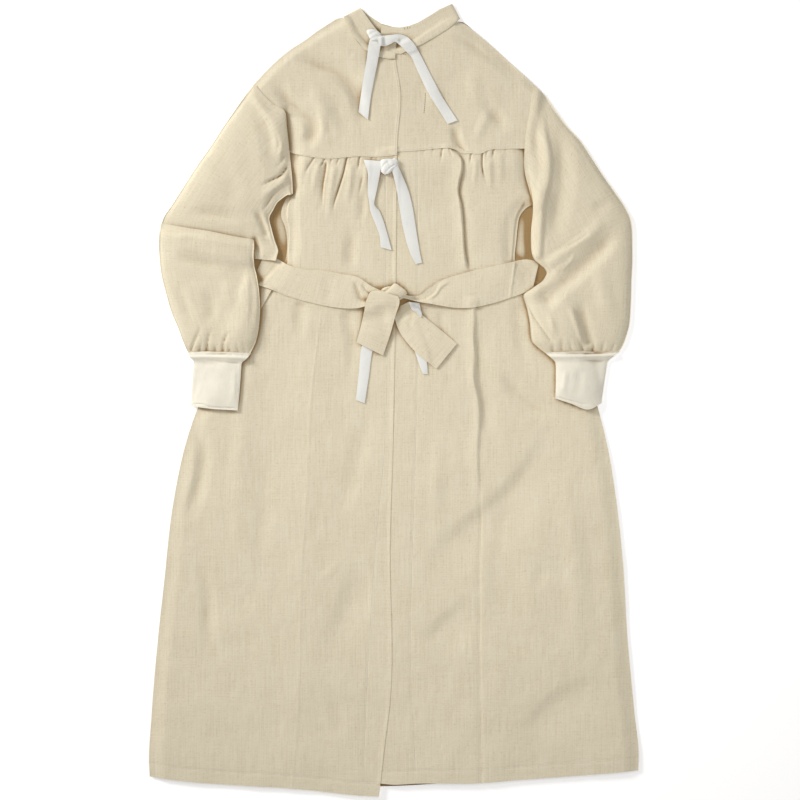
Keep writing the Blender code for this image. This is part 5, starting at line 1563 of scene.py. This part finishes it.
def cotton():
    """Bleached cotton tape: a fine twill with firm edges."""
    known = bpy.data.materials.get("cotton_tape_cloth")
    if known:
        return known
    nodes = Nodes("cotton_tape_cloth")
    grain = nodes.grain()
    turned = nodes.add("ShaderNodeMapping", {"Vector": grain, "Rotation": (0.0, 0.0, 0.78)})
    twill = nodes.wave(turned.outputs[0], 300.0, "X", 0.4)
    thread_noise = nodes.stretched_noise(grain, (90.0, 900.0, 1.0), 2.0)
    cloud = nodes.stretched_noise(grain, (70.0, 60.0, 1.0), 2.0)
    tone = nodes.maths("MULTIPLY_ADD", thread_noise, 0.6, 0.0)
    tone = nodes.maths("MULTIPLY_ADD", cloud, 0.4, tone)
    height = nodes.maths("MULTIPLY_ADD", thread_noise, 0.5, twill)
    base = Vector(colours().tape)
    finish_cloth(nodes, tone, (tuple(base * 0.86), tuple(base), tuple(base * 1.06)), height, 0.7,
                 0.3 * MM)
    nodes.set_shader({"Roughness": 0.8, "Specular IOR Level": 0.3, "Sheen Weight": 0.1})
    return nodes.material


def jersey():
    """Unbleached jersey: fine columns of knit stitches."""
    known = bpy.data.materials.get("jersey_cloth")
    if known:
        return known
    nodes = Nodes("jersey_cloth")
    grain = nodes.grain()
    columns = nodes.wave(grain, 250.0, "X", 0.3)
    courses = nodes.wave(grain, 330.0, "Y", 0.8)
    cloud = nodes.stretched_noise(grain, (60.0, 40.0, 1.0), 2.0)
    yarn = nodes.stretched_noise(grain, (700.0, 60.0, 1.0), 2.0)
    height = nodes.maths("MULTIPLY_ADD", courses, 0.35, columns)
    tone = nodes.maths("MULTIPLY_ADD", cloud, 0.5, 0.0)
    tone = nodes.maths("MULTIPLY_ADD", yarn, 0.4, tone)
    tone = nodes.maths("MULTIPLY_ADD", columns, 0.1, tone)
    base = Vector(colours().jersey)
    finish_cloth(nodes, tone, (tuple(base * 0.84), tuple(base), tuple(base * 1.08)), height, 0.5,
                 0.4 * MM)
    nodes.set_shader({"Roughness": 0.95, "Specular IOR Level": 0.2, "Sheen Weight": 0.2})
    return nodes.material


def thread(name, colour):
    """Sewing thread of that colour, twisted."""
    known = bpy.data.materials.get(name)
    if known:
        return known
    nodes = Nodes(name)
    spot = nodes.add("ShaderNodeTexCoord").outputs["Object"]
    tone = nodes.stretched_noise(spot, (900.0, 900.0, 900.0), 2.0)
    base = Vector(colour)
    finish_cloth(nodes, tone, (tuple(base * 0.8), tuple(base), tuple(base * 1.08)), tone, 0.3,
                 0.1 * MM)
    nodes.set_shader({"Roughness": 0.7})
    return nodes.material


def floor_finish():
    """A plain pale studio floor."""
    nodes = Nodes("studio_floor")
    base = (*colours().floor, 1.0)
    nodes.set_shader({"Base Color": base, "Roughness": 0.9, "Specular IOR Level": 0.1,
                      "Emission Color": base, "Emission Strength": 0.4})
    return nodes.material


def area_light(name, spot, aim, size, power, colour):
    """A soft square light."""
    data = bpy.data.lights.new(name, "AREA")
    data.shape = "SQUARE"
    data.size = size
    data.energy = power
    data.color = colour
    made = bpy.data.objects.new(name, data)
    made.location = spot
    made.rotation_euler = (Vector(aim) - Vector(spot)).to_track_quat("-Z", "Y").to_euler()
    bpy.context.scene.collection.objects.link(made)


def build_stage():
    """The floor, the lights and the camera straight above."""
    scene = bpy.context.scene
    bm = bmesh.new()
    bmesh.ops.create_grid(bm, x_segments=1, y_segments=1, size=FLOOR_HALF_SIDE)
    mesh = bpy.data.meshes.new("floor")
    bm.to_mesh(mesh)
    bm.free()
    mesh.transform(Matrix.Translation((0.0, 0.0, FLOOR_HEIGHT)))
    mesh.materials.append(floor_finish())
    floor = bpy.data.objects.new("floor", mesh)
    scene.collection.objects.link(floor)

    for light in LIGHTS:
        area_light(*light)
    world = bpy.data.worlds.new("studio")
    world.use_nodes = True
    background = world.node_tree.nodes["Background"]
    background.inputs["Color"].default_value = WORLD_TINT
    background.inputs["Strength"].default_value = WORLD_STRENGTH
    scene.world = world
    scene.view_settings.view_transform = "Standard"

    data = bpy.data.cameras.new("camera")
    data.lens = CAMERA_LENS
    half = PICTURE_SIDE / 2 * UNIT
    camera = bpy.data.objects.new("camera", data)
    spot = place(np.array(PICTURE_MIDDLE), np.array(half * 2 * data.lens / data.sensor_width))
    camera.location = spot.tolist()
    scene.collection.objects.link(camera)
    scene.camera = camera


class Step:
    """What the steps share: each can be undone."""

    bl_options = {"REGISTER", "UNDO"}


class SMOCK_OT_back(Step, bpy.types.Operator):
    """Lay the back panel"""

    bl_idname = "smock.back"
    bl_label = "Back panel"

    def execute(self, context):
        """Starts a new pile and lays the back on it."""
        PILE.clear()
        STITCHES.clear()
        DARNING.clear()
        build_back()
        return {"FINISHED"}


class SMOCK_OT_fronts(Step, bpy.types.Operator):
    """Lay the gathered fronts and the yokes"""

    bl_idname = "smock.fronts"
    bl_label = "Fronts and yokes"

    def execute(self, context):
        """Lays the four front panels on the pile."""
        build_fronts()
        return {"FINISHED"}


class SMOCK_OT_collar(Step, bpy.types.Operator):
    """Lay the stand collar"""

    bl_idname = "smock.collar"
    bl_label = "Collar"

    def execute(self, context):
        """Lays the band round the neck."""
        build_collar()
        return {"FINISHED"}


class SMOCK_OT_tapes(Step, bpy.types.Operator):
    """Tie the cotton tapes"""

    bl_idname = "smock.tapes"
    bl_label = "Tapes"

    def execute(self, context):
        """Lays the tapes and their knots."""
        build_tapes()
        return {"FINISHED"}


class SMOCK_OT_belt(Step, bpy.types.Operator):
    """Tie the belt"""

    bl_idname = "smock.belt"
    bl_label = "Belt"

    def execute(self, context):
        """Lays the belt, its tails and its knot."""
        build_belt()
        return {"FINISHED"}


class SMOCK_OT_sleeves(Step, bpy.types.Operator):
    """Lay the sleeves"""

    bl_idname = "smock.sleeves"
    bl_label = "Sleeves"

    def execute(self, context):
        """Lays both sleeves over the sides."""
        build_sleeves()
        return {"FINISHED"}


class SMOCK_OT_cuffs(Step, bpy.types.Operator):
    """Lay the cuffs"""

    bl_idname = "smock.cuffs"
    bl_label = "Cuffs"

    def execute(self, context):
        """Lays both cuffs below the sleeves."""
        build_cuffs()
        return {"FINISHED"}


class SMOCK_OT_stitching(Step, bpy.types.Operator):
    """Make the rows of stitches"""

    bl_idname = "smock.stitching"
    bl_label = "Stitching"

    def execute(self, context):
        """Makes the stitches that the panels have collected."""
        STITCHES.build("stitching", thread("thread_finish", colours().thread), THREAD_WIDTH)
        DARNING.build("darning", thread("darning_finish", colours().darning), DARNING_WIDTH)
        return {"FINISHED"}


class SMOCK_OT_paint_shade(Step, bpy.types.Operator):
    """Paint shade where each piece of cloth lies below the cloth around it"""

    bl_idname = "smock.depths"
    bl_label = "Painted shade"

    def execute(self, context):
        """Writes the painted shade that the materials read."""
        paint_shade_in_folds()
        return {"FINISHED"}


class SMOCK_OT_stage(Step, bpy.types.Operator):
    """Set the floor, the lights and the camera"""

    bl_idname = "smock.stage"
    bl_label = "Stage"

    def execute(self, context):
        """Sets the stage."""
        build_stage()
        return {"FINISHED"}


class SMOCK_PT_panel(bpy.types.Panel):
    """Lists the steps and the sizes."""

    bl_label = "Medical smock"
    bl_idname = "SMOCK_PT_panel"
    bl_space_type = "VIEW_3D"
    bl_region_type = "UI"
    bl_category = "Smock"

    def draw(self, context):
        """Draws the panel."""
        for step in STEPS:
            self.layout.operator(step.bl_idname)
        for group in (sizes(), colours()):
            for name in group.bl_rna.properties.keys():
                if name not in ("rna_type", "name"):
                    self.layout.prop(group, name)


STEPS = (SMOCK_OT_back, SMOCK_OT_fronts, SMOCK_OT_collar, SMOCK_OT_tapes, SMOCK_OT_belt,
         SMOCK_OT_sleeves, SMOCK_OT_cuffs, SMOCK_OT_stitching, SMOCK_OT_paint_shade, SMOCK_OT_stage)
CLASSES = (SmockSizes, SmockColours) + STEPS + (SMOCK_PT_panel,)


def register():
    """Registers the add-on's classes."""
    for made in CLASSES:
        bpy.utils.register_class(made)
    bpy.types.Scene.smock_sizes = PointerProperty(type=SmockSizes)
    bpy.types.Scene.smock_colours = PointerProperty(type=SmockColours)


def unregister():
    """Removes the add-on's classes."""
    del bpy.types.Scene.smock_colours
    del bpy.types.Scene.smock_sizes
    for made in reversed(CLASSES):
        bpy.utils.unregister_class(made)


def main():
    """Dresses the smock."""
    register()
    bpy.ops.smock.back()
    bpy.ops.smock.fronts()
    bpy.ops.smock.collar()
    bpy.ops.smock.tapes()
    bpy.ops.smock.belt()
    bpy.ops.smock.sleeves()
    bpy.ops.smock.cuffs()
    bpy.ops.smock.stitching()
    bpy.ops.smock.depths()
    bpy.ops.smock.stage()


if __name__ == "__main__":
    main()
